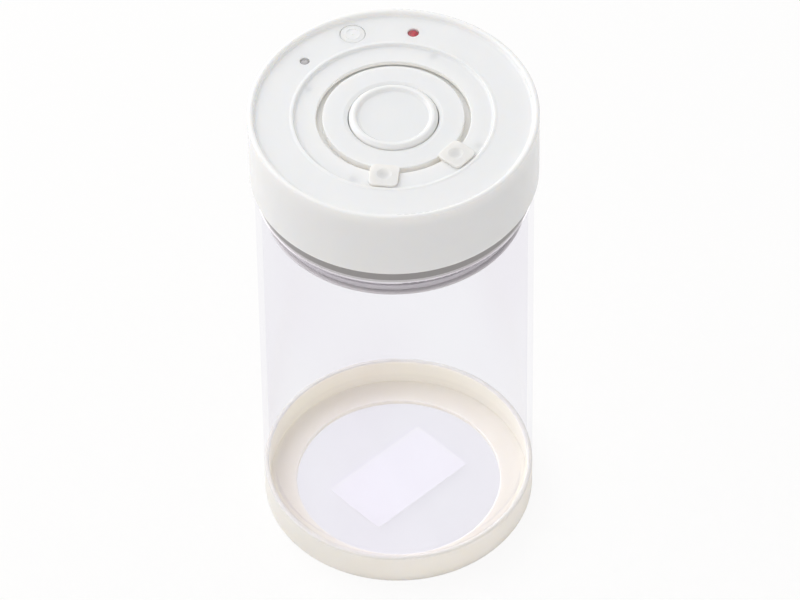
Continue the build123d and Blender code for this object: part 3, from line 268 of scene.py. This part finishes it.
def lay_table():
    """A wide flat table top, just under the canister."""
    mesh = bpy.data.meshes.new("table_top")
    half = TABLE_SIZE / 2
    corners = [(-half, -half, 0), (half, -half, 0), (half, half, 0), (-half, half, 0)]
    mesh.from_pydata(corners, [], [(0, 1, 2, 3)])
    table = bpy.data.objects.new("table_top", mesh)
    table.location.z = cad_box[0].z - TABLE_GAP
    bpy.context.scene.collection.objects.link(table)
    finish = Finish(bpy.data.materials.new("table_white"))
    matt = finish.node("ShaderNodeBsdfDiffuse", None, {"Color": TABLE_COLOUR})
    glow = finish.node("ShaderNodeEmission", None, {"Color": WHITE, "Strength": 1.0})
    share = seen_rays(finish) * TABLE_GLOW_SHARE
    finish.show(finish.node("ShaderNodeMixShader", None, {0: share, 1: matt, 2: glow}))
    mesh.materials.append(finish.owner)
    print("table at height in mm:", round(table.location.z / MM, 3))


def light_room():
    """A white room that is plain white to look at and softer as a source of light."""
    world = bpy.data.worlds.new("white_room")
    bpy.context.scene.world = world
    finish = Finish(world)
    strength = seen_rays(finish) * (1 - ROOM_STRENGTH) + ROOM_STRENGTH
    finish.show(
        finish.node("ShaderNodeBackground", None, {"Color": WHITE, "Strength": strength}),
        "ShaderNodeOutputWorld")


lay_table()
light_room()
bpy.context.scene.view_settings.view_transform = "Standard"
paths = bpy.context.scene.cycles
paths.max_bounces = CLEAR_BOUNCES
paths.transmission_bounces = paths.transparent_max_bounces = CLEAR_BOUNCES
paths.diffuse_bounces = MATT_BOUNCES
print("steps of a light path:", paths.max_bounces)

# %% [markdown]
# The slopes of the lid tell where the light stood. Those that face right and the viewer are the
# bright ones, and the inside of the rim is in shade at the left and at the back, with edges that
# fade over several millimetres. So the light came from the back left, low, and from a very large
# softbox close by. A weak second one in front keeps the lid's front wall from going grey.

# %% Hang the softboxes
LAMP_AIM = Vector((0, 0, 0.15))


def softbox(name, turn, elevation, distance, width, watts, colour=(1, 1, 1)):
    """A square lamp at a direction in degrees from +X and above the horizon, facing the lid."""
    data = bpy.data.lights.new(name, "AREA")
    data.energy = watts
    data.color = colour
    data.size = width
    level = math.cos(math.radians(elevation))
    direction = Vector((
        level * math.cos(math.radians(turn)),
        level * math.sin(math.radians(turn)),
        math.sin(math.radians(elevation))))
    lamp = bpy.data.objects.new(name, data)
    lamp.location = LAMP_AIM + direction * distance
    lamp.rotation_mode = "QUATERNION"
    lamp.rotation_quaternion = direction.to_track_quat("Z", "Y")
    bpy.context.scene.collection.objects.link(lamp)
    print(name, "watts:", watts, "stands at:", [round(part, 2) for part in lamp.location])


softbox("key_softbox", turn=140, elevation=38, distance=1.5, width=2.0, watts=17)
softbox("front_softbox", turn=-110, elevation=30, distance=2.4, width=1.2, watts=3,
        colour=(1.0, 0.94, 0.9))

# %% [markdown]
# ## Texture that belongs to the piece
# No moulded part is perfectly even. Two scales are enough for most: a fine grain that the mould
# leaves, and a slow cloudiness a few centimetres wide in colour and gloss. Both come from one
# noise, read in the piece's own coordinates, so that they move with the piece and don't swim.
# The same coordinates say how high a point lies and how far from the jar's axis, and the two
# together pick out any round band of a piece.

# %% Noise by size, and places by height and radius
UPWARD_FROM = 0.6
UPWARD_TO = 0.95


def clouds(finish, size, detail=2.0, stretch=(1, 1, 1)):
    """Soft blobs about that many metres wide, from 0 to 1 and mostly near 0.5."""
    place = finish.node("ShaderNodeTexCoord", out="Object")
    return finish.node(
        "ShaderNodeTexNoise", None,
        {"Vector": place * stretch, "Scale": 1 / size, "Detail": detail})


def height_of(finish):
    """How high a point of the piece lies, in metres."""
    place = finish.node("ShaderNodeTexCoord", out="Object")
    return finish.node("ShaderNodeSeparateXYZ", None, {0: place}, out=2)


def radius_of(finish):
    """How far a point of the piece lies from the jar's axis, in metres."""
    flat = finish.node("ShaderNodeTexCoord", out="Object") * (1, 1, 0)
    return finish.node("ShaderNodeVectorMath", {"operation": "LENGTH"}, {0: flat}, out="Value")


def facing_up(finish):
    """1 on faces that look up and 0 on walls."""
    normal = finish.node("ShaderNodeTexCoord", out="Normal")
    upward = finish.node("ShaderNodeSeparateXYZ", None, {0: normal}, out=2)
    return upward.step(UPWARD_FROM, UPWARD_TO)


def relief(finish, height, depth, under=None):
    """A bumped normal: height from 0 to 1 stands for that depth in metres."""
    sockets = {"Height": height, "Distance": depth, "Strength": 1.0}
    if under is not None:
        sockets["Normal"] = under
    return finish.node("ShaderNodeBump", None, sockets)


def put_on(piece, *finishes):
    """Give one piece these finishes, in place of what it came with."""
    piece.data.materials.clear()
    for finish in finishes:
        piece.data.materials.append(finish.owner)


def dress(finish, *names):
    """Give pieces of the frame this finish in place of the plain one that they came with."""
    for name in names:
        put_on(nodes[name], finish)
    print(finish.owner.name, "on", ", ".join(names))


print("level faces slope less than", round(math.degrees(math.acos(UPWARD_TO)), 1), "degrees")

# %% [markdown]
# ## White moulded plastic
# The cover, the inner disc, the button and the key are hard white plastic from polished moulds.
# The faces that look up have a fine spark texture, so they are a little duller than the walls,
# where the table is mirrored softly. The colour stays a step below white, or the light would
# clip it. White plastic isn't a painted surface, though: light sinks in a millimetre and comes
# out warmer, and it softens the shade of every small step. A subsurface weight does that. The
# narrow slot in the dial is where it matters most. Light bounces in it from wall to wall and
# leaves beige, more of it than even many bounces bring back, so the slot's own faces get painted
# light on top: a faint cream glow, picked out by their distance from the axis and their height.

# %% Hard white shells
GRAIN_SIZE = 0.45 * MM
GRAIN_DEPTH = 0.004 * MM
PEEL_SIZE = 7 * MM
PEEL_DEPTH = 0.012 * MM
CLOUD_SIZE = 30 * MM
SLOT_INNER_R = 25.7 * MM
SLOT_OUTER_R = 28.2 * MM
SLOT_TOP = 200.0 * MM
SLOT_EDGE = 0.1 * MM
SLOT_FADE = 0.8 * MM
# The colour of the painted light in the dial's slot, a cream glow for the light that bounces there.
SLOT_PAINTED_LIGHT_COLOUR = paint(255, 240, 212)
PLASTIC_INDEX = 1.53
SINK_RADIUS = (1.0, 0.9, 0.78)
SINK_DEPTH = 3 * MM
GLOSS_CLOUDINESS = 0.08
PLUG_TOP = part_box("mouth_gasket")[1].z
PLAIN_WHITE = (paint(249, 248, 247), paint(247, 247, 245))


def in_the_slot(finish):
    """1 on the faces inside the dial's ring slot and 0 elsewhere."""
    radius = radius_of(finish)
    past_hub = radius.step(SLOT_INNER_R - SLOT_EDGE, SLOT_INNER_R)
    past_slot = radius.step(SLOT_OUTER_R, SLOT_OUTER_R + SLOT_EDGE)
    above = height_of(finish).step(SLOT_TOP - SLOT_FADE, SLOT_TOP)
    return past_hub * (1 - past_slot) * (1 - above)


def moulded(name, light, dark, wall, top, sink=0.0, slot_painted_light=0.0, plug_painted_light=None):
    """Hard plastic: two close colours in slow clouds, with grain and a faint peel.

    wall and top are the roughness of walls and of faces that look up, sink is how much light
    sinks in, the next argument is the strength of painted light in the dial's slot, and the last
    is a paler colour below the lid's neck, painted light where that part lies in shade.
    """
    finish = Finish(bpy.data.materials.new(name))
    # Painted light: a cream glow on the faces inside the dial's slot.
    slot = in_the_slot(finish).blend(BLACK, SLOT_PAINTED_LIGHT_COLOUR) if slot_painted_light else BLACK
    slow = clouds(finish, CLOUD_SIZE)
    up = facing_up(finish)
    roughness = up * (top - wall) + wall + (slow - 0.5) * GLOSS_CLOUDINESS
    peel = relief(finish, clouds(finish, PEEL_SIZE), PEEL_DEPTH)
    grain = relief(finish, clouds(finish, GRAIN_SIZE, 3.0), GRAIN_DEPTH, peel)
    colour = slow.mottle(dark, light)
    # Painted light: a paler colour below the lid's neck, where the shell lies in shade.
    if plug_painted_light is not None:
        colour = height_of(finish).step(PLUG_TOP - MM, PLUG_TOP).blend(plug_painted_light, colour)
    finish.show(finish.node("ShaderNodeBsdfPrincipled", None, {
        "Base Color": colour,
        "Roughness": roughness,
        "IOR": PLASTIC_INDEX,
        "Subsurface Weight": sink,
        "Subsurface Radius": SINK_RADIUS,
        "Subsurface Scale": SINK_DEPTH,
        "Emission Color": slot,
        "Emission Strength": slot_painted_light,
        "Normal": grain,
    }))
    return finish


# The cover and the inner disc get a faint painted cream glow in the dial's slot.
dress(moulded("shell_white", *PLAIN_WHITE, wall=0.22, top=0.42, sink=0.7, slot_painted_light=0.07),
      "lid_cover", "dial_hub")
dress(moulded("button_white", *PLAIN_WHITE, wall=0.26, top=0.36, sink=0.7), "release_button")
dress(moulded("key_white", *PLAIN_WHITE, wall=0.3, top=0.45, sink=0.7), "start_key")
dress(moulded("slider_cream", paint(253, 249, 243), paint(251, 247, 240),
              wall=0.3, top=0.4, sink=0.6),
      "left_date_slider", "right_date_slider")

# %% [markdown]
# ## The clear jar
# A jar of clear plastic is two surfaces a wall's thickness apart. Glass with the plastic's own
# index bends and traps light at the foot and the rim, and draws dark lines there that the
# photograph doesn't have. It shows a wall that is all but invisible, with a breath of lavender
# and hardly a gleam along its sides. So the two jobs are split: the body doesn't bend light at
# all, and a thin share of clear coat with the plastic's true index gives the gleam, which grows
# where the wall turns away from the eye.
#
# The moulded lip of the mouth catches light all round, so it gets a painted highlight: a glow on
# a band of the jar's own height. Another band gives the thick floor its deeper tint.
#
# Glass blocks lamp light in a path tracer unless caustics are left to find the way. A common
# trick is used instead: for shadow rays the glass is swapped for nothing at all, and the ring
# and the table inside it are lit without noise.

# %% Clear plastic
JAR_TINT = paint(249, 249, 251)
JAR_SHADE = paint(247, 246, 249)
WALL_WAVE_SIZE = 45 * MM
WALL_WAVE_DEPTH = 0.02 * MM
RUB_SIZE = 4 * MM
LIP_DROP = 0.4 * MM
# A painted highlight on the jar's lip: its colour and its strength.
LIP_PAINTED_HIGHLIGHT = paint(248, 246, 247)
LIP_PAINTED_HIGHLIGHT_STRENGTH = 0.4
FLOOR_TINT = paint(242, 241, 246)
FLOOR_LEVEL = 7 * MM


def clear_jar():
    """Clear plastic that lets lamp light through and has the faint waves of a moulded wall."""
    finish = Finish(bpy.data.materials.new("clear_jar"))
    slow = clouds(finish, WALL_WAVE_SIZE, 1.0, (1, 1, 0.4))
    rub = clouds(finish, RUB_SIZE, 4.0).step(0.45, 0.8)
    height = height_of(finish)
    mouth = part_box("jar")[1].z
    # The band at the mouth that carries the painted highlight.
    lip = height.step(mouth - LIP_DROP, mouth - LIP_DROP / 2)
    wall = slow.mottle(JAR_SHADE, JAR_TINT)
    glass = finish.node("ShaderNodeBsdfPrincipled", None, {
        "Base Color": height.step(FLOOR_LEVEL - MM, FLOOR_LEVEL).blend(FLOOR_TINT, wall),
        "Roughness": rub * 0.03 + 0.01,
        "IOR": 1.0,
        "Transmission Weight": 1.0,
        "Coat Weight": 0.15,
        "Coat IOR": 1.5,
        "Coat Roughness": 0.02,
        "Emission Color": lip.blend(BLACK, LIP_PAINTED_HIGHLIGHT),
        "Emission Strength": LIP_PAINTED_HIGHLIGHT_STRENGTH,
        "Normal": relief(finish, slow, WALL_WAVE_DEPTH),
    })
    filter_only = finish.node("ShaderNodeBsdfTransparent", None, {"Color": WHITE})
    lamp_ray = finish.node("ShaderNodeLightPath", out="Is Shadow Ray")
    finish.show(finish.node("ShaderNodeMixShader", None, {0: lamp_ray, 1: glass, 2: filter_only}))
    return finish


dress(clear_jar(), "jar")

# %% [markdown]
# ## A hair of air under the jar
# The jar stands on the ring's shelf, and the label is stuck to the jar: in both places two faces
# lie in one plane. A ray through the clear floor can't tell which of the two comes first, slips
# past the second, and sees the dark inside of the plastic. So the ring and the label are redrawn
# with a hair of air under the jar, far too thin to see.

# %% A hair of air
AIR_HAIR = 0.04 * MM
RING_INSIDE_R = 49.3 * MM
SHELF_LEVEL = 2.0 * MM


def under_the_jar(name, new_name):
    """A piece that touches the jar from below, redrawn with its touching face a hair lower."""
    mesh = nodes[name].data.copy()
    mesh.name = new_name
    lowered = 0
    for vertex in mesh.vertices:
        if abs(vertex.co.z - SHELF_LEVEL) < AIR_HAIR and vertex.co.xy.length < RING_INSIDE_R:
            vertex.co.z -= AIR_HAIR
            lowered += 1
    piece = bpy.data.objects.new(new_name, mesh)
    bpy.context.scene.collection.objects.link(piece)
    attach(piece, "jar")
    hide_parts(name)
    print(new_name, "has", lowered, "points lowered")
    return piece


cream_base = under_the_jar("base_ring", "cream_base_ring")
blank_label = under_the_jar("base_sticker", "blank_label")

# %% [markdown]
# ## The cream ring
# The ring is a soft rubbery plastic: matt, warm, and translucent, so light goes through its thin
# wall. A large subsurface weight does most of that. What is still missing on the ring's inner
# side is painted light: a faint cream glow. Painted shade makes the base colour darker there and
# on the top edge, so that the strong lamp doesn't clip them.

# %% Soft cream plastic
RING_EDGE = 0.1 * MM
RING_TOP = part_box("base_ring")[1].z
RIM_FADE = 0.9 * MM
RING_PEEL_SIZE = 5 * MM
RING_PEEL_DEPTH = 0.02 * MM
RING_GRAIN_SIZE = 0.3 * MM
RING_GRAIN_DEPTH = 0.006 * MM
RING_SINK_RADIUS = (1.0, 0.9, 0.75)
RING_SINK_DEPTH = 6 * MM
# Painted shade: a darker base inside the ring and on its top edge. Painted light: a cream glow
# inside.
RING_INSIDE_PAINTED_SHADE = paint(221, 218, 206)
RING_RIM_PAINTED_SHADE = paint(212, 210, 206)
RING_PAINTED_LIGHT = paint(255, 251, 238)
RING_PAINTED_LIGHT_STRENGTH = 0.21


def cream_ring():
    """Matt warm plastic with light that spreads a few millimetres inside it."""
    finish = Finish(bpy.data.materials.new("ring_cream"))
    slow = clouds(finish, CLOUD_SIZE)
    # Masks for the painted shade and light of the inner side, and the painted shade of the top
    # edge.
    inside = 1 - radius_of(finish).step(RING_INSIDE_R, RING_INSIDE_R + RING_EDGE)
    rim = height_of(finish).step(RING_TOP - RIM_FADE, RING_TOP - RING_EDGE) * (1 - inside)
    wall = slow.mottle(paint(239, 235, 228), paint(242, 238, 232))
    peel = relief(finish, clouds(finish, RING_PEEL_SIZE), RING_PEEL_DEPTH)
    grain = relief(finish, clouds(finish, RING_GRAIN_SIZE, 3.0), RING_GRAIN_DEPTH, peel)
    finish.show(finish.node("ShaderNodeBsdfPrincipled", None, {
        "Base Color": rim.blend(inside.blend(wall, RING_INSIDE_PAINTED_SHADE), RING_RIM_PAINTED_SHADE),
        "Roughness": (slow - 0.5) * 0.1 + 0.48,
        "Subsurface Weight": 0.8,
        "Subsurface Radius": RING_SINK_RADIUS,
        "Subsurface Scale": RING_SINK_DEPTH,
        "Emission Color": inside.blend(BLACK, RING_PAINTED_LIGHT),
        "Emission Strength": RING_PAINTED_LIGHT_STRENGTH,
        "Normal": grain,
    }))
    return finish


put_on(cream_base, cream_ring())
print("the ring's top edge is at", round(RING_TOP / MM, 2), "mm")

# %% [markdown]
# ## The blank label
# The label under the jar is plain white paper. Nothing is printed on it, so its fibres are all
# that it shows. It lies in the shade under the jar, so a small blue-white glow is painted on it
# as light, and keeps the label whiter than the jar's tinted floor.

# %% White paper
FIBRE_SIZE = 0.6 * MM
FIBRE_DEPTH = 0.01 * MM
# Painted light on the label: its colour and its strength.
LABEL_PAINTED_LIGHT = paint(250, 250, 255)
LABEL_PAINTED_LIGHT_STRENGTH = 0.08


def blank_paper():
    """White label paper with short fibres."""
    finish = Finish(bpy.data.materials.new("label_paper"))
    fibres = clouds(finish, FIBRE_SIZE, 5.0, (1, 0.35, 1))
    finish.show(finish.node("ShaderNodeBsdfPrincipled", None, {
        "Base Color": fibres.mottle(paint(240, 240, 238), paint(244, 244, 242)),
        "Roughness": fibres * 0.1 + 0.6,
        "Emission Color": LABEL_PAINTED_LIGHT,
        "Emission Strength": LABEL_PAINTED_LIGHT_STRENGTH,
        "Normal": relief(finish, fibres, FIBRE_DEPTH),
    }))
    return finish


put_on(blank_label, blank_paper())
print(blank_label.name, "in", blank_label.data.materials[0].name)

# %% [markdown]
# ## Grey shell and grey silicone
# Between the white cover and the jar runs a dark neck band, and under it the grey seal with its
# lips. The band is hard plastic. Below it, where the shell plugs the jar and lies in shade, the
# colour is paler, painted light. The seal is silicone: softer gloss, and dust that clings to it.

# %% Grey plastic and rubber
SILICONE_INDEX = 1.41
PATCH_SIZE = 9 * MM
DUST_SIZE = 0.8 * MM
SKIN_SIZE = 1.5 * MM
SKIN_DEPTH = 0.008 * MM


def rubber(name, light, dark, roughness, clearness=0.0):
    """Silicone or rubber: soft gloss, with pale dust in patches and a slightly uneven skin."""
    finish = Finish(bpy.data.materials.new(name))
    patches = clouds(finish, PATCH_SIZE)
    dust = clouds(finish, DUST_SIZE, 4.0).step(0.5, 0.75)
    finish.show(finish.node("ShaderNodeBsdfPrincipled", None, {
        "Base Color": (patches * 0.7 + dust * 0.3).step(0.2, 0.8).blend(dark, light),
        "Roughness": dust * 0.12 + roughness,
        "IOR": SILICONE_INDEX,
        "Transmission Weight": clearness,
        "Normal": relief(finish, clouds(finish, SKIN_SIZE, 3.0), SKIN_DEPTH),
    }))
    return finish


# The shell below the neck is painted paler, painted light where it lies in shade.
dress(moulded("chassis_grey", paint(154, 151, 151), paint(149, 146, 147),
              wall=0.34, top=0.42, plug_painted_light=paint(214, 211, 212)),
      "lid_chassis", "battery_door", "filter_cap")
dress(rubber("seal_grey", paint(218, 215, 218), paint(207, 204, 208), roughness=0.38),
      "mouth_gasket")
dress(rubber("seal_clear", paint(228, 228, 226), paint(216, 216, 214),
             roughness=0.3, clearness=0.35),
      "valve_seal", "check_valve", "door_gasket", "suction_tube")
dress(rubber("rubber_black", paint(52, 52, 54), paint(40, 40, 42), roughness=0.5),
      "pump_diaphragm", "motor_sleeve")

# %% [markdown]
# ## The two lights
# One small lens is red and the other smoke grey. Each is a clear tinted dome over a diode, so
# the colour is deepest in the middle, where there is most plastic to look through. Neither diode
# is lit, but the red lens is so saturated that it gets a faint glow: painted light.

# %% Tinted lenses
CORE_SIZE = 1.2 * MM
CORE_DEPTH = 0.01 * MM


def lens(name, centre, edge, glow):
    """A tinted dome with a brighter point inside and a glossy skin."""
    finish = Finish(bpy.data.materials.new(name))
    core = clouds(finish, CORE_SIZE, 1.0).step(0.35, 0.65)
    finish.show(finish.node("ShaderNodeBsdfPrincipled", None, {
        "Base Color": core.blend(edge, centre),
        "Roughness": core * 0.08 + 0.12,
        "IOR": 1.5,
        "Transmission Weight": 0.25,
        "Coat Weight": 0.6,
        "Emission Color": centre,
        "Emission Strength": glow,
        "Normal": relief(finish, core, CORE_DEPTH),
    }))
    return finish


# The red lens gets a faint glow, painted light: its diode is off.
dress(lens("lens_red", paint(200, 34, 58), paint(158, 18, 42), glow=0.1), "running_light")
dress(lens("lens_smoke", paint(198, 195, 197), paint(186, 183, 186), glow=0.0), "status_light")

# %% [markdown]
# ## Inside the lid
# Nobody sees the works until the lid is taken apart, but a good part is finished there too. The
# metals are one recipe: a bright base, streaks along the way they were drawn or turned, and a
# roughness that follows the streaks.

# %% Metals
STREAK_SIZE = 0.5 * MM
STREAK_DEPTH = 0.004 * MM
STAIN_SIZE = 6 * MM


def metal(name, light, dark, roughness, streak):
    """Plated or bare metal, with fine streaks drawn out along one direction."""
    finish = Finish(bpy.data.materials.new(name))
    drawn = clouds(finish, STREAK_SIZE, 4.0, streak)
    stain = clouds(finish, STAIN_SIZE, 3.0)
    finish.show(finish.node("ShaderNodeBsdfPrincipled", None, {
        "Base Color": (drawn * 0.5 + stain * 0.5).mottle(dark, light),
        "Metallic": 1.0,
        "Roughness": drawn * 0.16 + roughness,
        "Normal": relief(finish, drawn, STREAK_DEPTH),
    }))
    return finish


dress(metal("screw_steel", paint(206, 206, 208), paint(178, 178, 182),
            roughness=0.22, streak=(1, 1, 0.1)),
      "cover_screws", "dial_screws", "board_screws", "door_screws", "pump_screws")
dress(metal("plated_can", paint(214, 213, 208), paint(190, 189, 184),
            roughness=0.26, streak=(0.1, 1, 1)),
      "pump_motor")
dress(metal("sheet_steel", paint(200, 200, 202), paint(172, 172, 176),
            roughness=0.3, streak=(1, 0.1, 1)),
      "pump_clamp")
dress(metal("turned_steel", paint(216, 216, 218), paint(190, 190, 194),
            roughness=0.14, streak=(1, 1, 1)),
      "motor_shaft")
dress(metal("nickel_strip", paint(220, 216, 208), paint(196, 190, 180),
            roughness=0.2, streak=(1, 1, 0.1)),
      "battery_contacts", "light_leads")

# %% [markdown]
# ## Plastics inside the lid
# The hard plastics of the works use `moulded` again, without the sinking light, which nobody
# would see in there and which takes long to render.

# %% Inner plastics
dress(moulded("inner_white", paint(232, 231, 226), paint(226, 225, 219), wall=0.34, top=0.4),
      "battery_box", "button_stem", "pump_swing_plate", "pump_valve_plate", "suction_port")
dress(moulded("inner_black", paint(58, 58, 60), paint(46, 46, 48), wall=0.36, top=0.42),
      "pump_crankcase", "pump_cap", "pump_crank", "key_switch")
dress(moulded("plunger_white", paint(226, 226, 222), paint(216, 216, 212), wall=0.3, top=0.36),
      "switch_plunger")

# %% [markdown]
# ## The spring under the button
# Under the release button sits a coil spring, and a spring gets shorter when its button goes
# down. A rigid copy would come out through the button's face. Here it is redrawn once more as a
# rigid copy of its own, which rides on the lid, and its length and the button's travel are printed.

# %% The spring under the button
def give_way(name, new_name, joint_name, body, wire):
    """A piece redrawn as a rigid copy on that body; the travel of that joint is only printed."""
    low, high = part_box(name)
    joints = {row["name"]: row for row in frame["record"]["behaviour"]["joints"]}
    travel = joints[joint_name]["range_m"][1]
    piece = bpy.data.objects.new(new_name, nodes[name].data.copy())
    put_on(piece, wire)
    bpy.context.scene.collection.objects.link(piece)
    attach(piece, body)
    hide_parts(name)
    1 - travel / (high.z - low.z)
    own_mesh(piece)
    print(new_name, "in mm:", round((high.z - low.z) / MM, 2), "gives:", round(travel / MM, 2))


spring_wire = metal("spring_wire", paint(196, 196, 198), paint(160, 160, 166),
                    roughness=0.2, streak=(0.2, 0.2, 1))
give_way("button_spring", "return_spring", "release_press", "lid", spring_wire)

# %% [markdown]
# ## Foam and circuit board
# The filter is open foam with small round cells: a Voronoi distance gives each cell a dark middle,
# painted shade in its hollow. The board is green solder mask over copper. Tracks run along two
# directions: bands of a wave texture, which makes about three bands in the length that its scale
# stands for, and a coarse noise that says which way they run in each part of the board.

# %% Foam and circuit board
FOAM_CELL_SIZE = 0.7 * MM
FOAM_CELL_DEPTH = 0.2 * MM
THREE_TRACKS = 22 * MM
TRACK_DEPTH = 0.03 * MM
BOARD_PART_SIZE = 12 * MM


def open_foam():
    """Pale foam with painted shade in its small cells."""
    finish = Finish(bpy.data.materials.new("filter_foam"))
    place = finish.node("ShaderNodeTexCoord", out="Object")
    cell = finish.node(
        "ShaderNodeTexVoronoi", None, {"Vector": place, "Scale": 1 / FOAM_CELL_SIZE})
    # Painted shade: dark in the middle of each cell.
    wall = cell.step(0.15, 0.5)
    finish.show(finish.node("ShaderNodeBsdfPrincipled", None, {
        "Base Color": wall.blend(paint(120, 120, 118), paint(206, 205, 200)),
        "Roughness": 0.9 - wall * 0.1,
        "Normal": relief(finish, wall, FOAM_CELL_DEPTH),
    }))
    return finish


def circuit_board():
    """Green mask, darker over bare board and lighter over the copper tracks."""
    finish = Finish(bpy.data.materials.new("board_green"))
    place = finish.node("ShaderNodeTexCoord", out="Object")
    bands = [
        finish.node(
            "ShaderNodeTexWave", {"bands_direction": axis},
            {"Vector": place, "Scale": 1 / THREE_TRACKS, "Distortion": 1.5}, out=1)
        for axis in ("X", "Y")]
    choice = clouds(finish, BOARD_PART_SIZE, 0.0).step(0.49, 0.51)
    track = (bands[0] * choice + bands[1] * (1 - choice)).step(0.55, 0.62)
    finish.show(finish.node("ShaderNodeBsdfPrincipled", None, {
        "Base Color": track.blend(paint(16, 74, 42), paint(36, 112, 62)),
        "Roughness": 0.34 - track * 0.08,
        "Coat Weight": 0.4,
        "Normal": relief(finish, track, TRACK_DEPTH),
    }))
    return finish


dress(open_foam(), "inlet_filter")
dress(circuit_board(), "control_board")

# %% [markdown]
# ## One piece, several finishes
# Some pieces of the frame are groups of separate bodies: the two wires of each pair, and the
# chip, capacitor and resistors on the board. Each body wants its own finish. The faces of one
# body share places but not vertices, so the bodies are found by joining faces that meet at the
# same place. Each body's faces are then pointed at one of the piece's materials.

# %% Tell bodies apart
PLACE_DIGITS = 6


def bodies_in(mesh):
    """Face numbers of each closed body in a mesh, the tallest body first."""
    leader = {}

    def head(key):
        while leader[key] != key:
            key = leader[key]
        return key

    keys = [vertex.co.to_tuple(PLACE_DIGITS) for vertex in mesh.vertices]
    for face in mesh.polygons:
        first = leader.setdefault(keys[face.vertices[0]], keys[face.vertices[0]])
        for index in face.vertices:
            leader.setdefault(keys[index], first)
            leader[head(keys[index])] = head(first)
    groups = {}
    for face in mesh.polygons:
        groups.setdefault(head(keys[face.vertices[0]]), []).append(face.index)

    def tallness(faces):
        heights = [mesh.vertices[v].co.z for f in faces for v in mesh.polygons[f].vertices]
        return min(heights) - max(heights)

    return sorted(groups.values(), key=tallness)


def dress_bodies(name, finishes):
    """Give each body of a piece its own finish, the tallest body the first one."""
    mesh = nodes[name].data
    put_on(nodes[name], *finishes)
    groups = bodies_in(mesh)
    for rank, faces in enumerate(groups):
        for face in faces:
            mesh.polygons[face].material_index = min(rank, len(finishes) - 1)


sleeve_red = rubber("wire_red", paint(186, 32, 30), paint(166, 24, 24), roughness=0.36)
sleeve_black = rubber("wire_black", paint(44, 44, 46), paint(34, 34, 36), roughness=0.36)
dress_bodies("battery_wires", [sleeve_red, sleeve_black])
dress_bodies("motor_wires", [sleeve_red, sleeve_black])
dress_bodies("board_parts", [
    moulded("capacitor_sleeve", paint(40, 46, 92), paint(30, 36, 76), wall=0.3, top=0.2),
    moulded("chip_epoxy", paint(46, 46, 48), paint(38, 38, 40), wall=0.42, top=0.5),
    moulded("resistor_ceramic", paint(70, 66, 60), paint(40, 38, 36), wall=0.4, top=0.4),
])

# %% [markdown]
# ## The cells
# Each cell is a steel can in a printed sleeve that stops short of both ends. The sleeve here is
# plain: two colours and no words. Along the cell's own axis, a few smooth steps are all that is
# needed, and the same mask that picks the sleeve also picks plastic or metal.

# %% Sleeved cells
CELL_END_SHARE = 0.93
BAND_SHARE = 0.45
PRINT_EDGE_SHARE = 0.01
SCUFF_SIZE = 3 * MM
SCUFF_DEPTH = 0.004 * MM


def cell_sleeve():
    """Steel ends, and a sleeve in two colours along the cells' common axis."""
    low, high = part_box("battery_contacts")
    centre = (low + high) / 2
    front = math.atan2(centre.y, centre.x)
    mesh = nodes["batteries"].data
    along = Vector((-math.sin(front), math.cos(front), 0))
    reach = max(abs(vertex.co.dot(along)) for vertex in mesh.vertices)
    finish = Finish(bpy.data.materials.new("cell_sleeve"))
    place = finish.node("ShaderNodeTexCoord", out="Object")
    run = finish.node(
        "ShaderNodeVectorMath", {"operation": "DOT_PRODUCT"},
        {0: place, 1: along / reach}, out="Value")
    run_out = finish.node("ShaderNodeMath", {"operation": "ABSOLUTE"}, {0: run})
    bare = run_out.step(CELL_END_SHARE, CELL_END_SHARE + PRINT_EDGE_SHARE)
    band = run.step(BAND_SHARE, BAND_SHARE + PRINT_EDGE_SHARE)
    sleeve = band.blend(paint(30, 108, 122), paint(208, 206, 200))
    scuff = clouds(finish, SCUFF_SIZE, 4.0)
    finish.show(finish.node("ShaderNodeBsdfPrincipled", None, {
        "Base Color": bare.blend(sleeve, paint(206, 205, 202)),
        "Metallic": bare,
        "Roughness": scuff * 0.15 + 0.2,
        "Normal": relief(finish, scuff, SCUFF_DEPTH),
    }))
    print("cells reach in mm:", round(reach / MM, 1))
    return finish


dress(cell_sleeve(), "batteries")

# %% [markdown]
# ## Close the lesson
# Every piece of the frame should have left its plain material behind, so the shown pieces whose
# first material has no texture node of its own are printed.

# %% Check and finish
plain = [
    name for name, piece in nodes.items() if not piece.hide_render
    and not any(made.type.startswith("TEX_") for made in piece.data.materials[0].node_tree.nodes)]
print("pieces without a texture of their own:", plain)
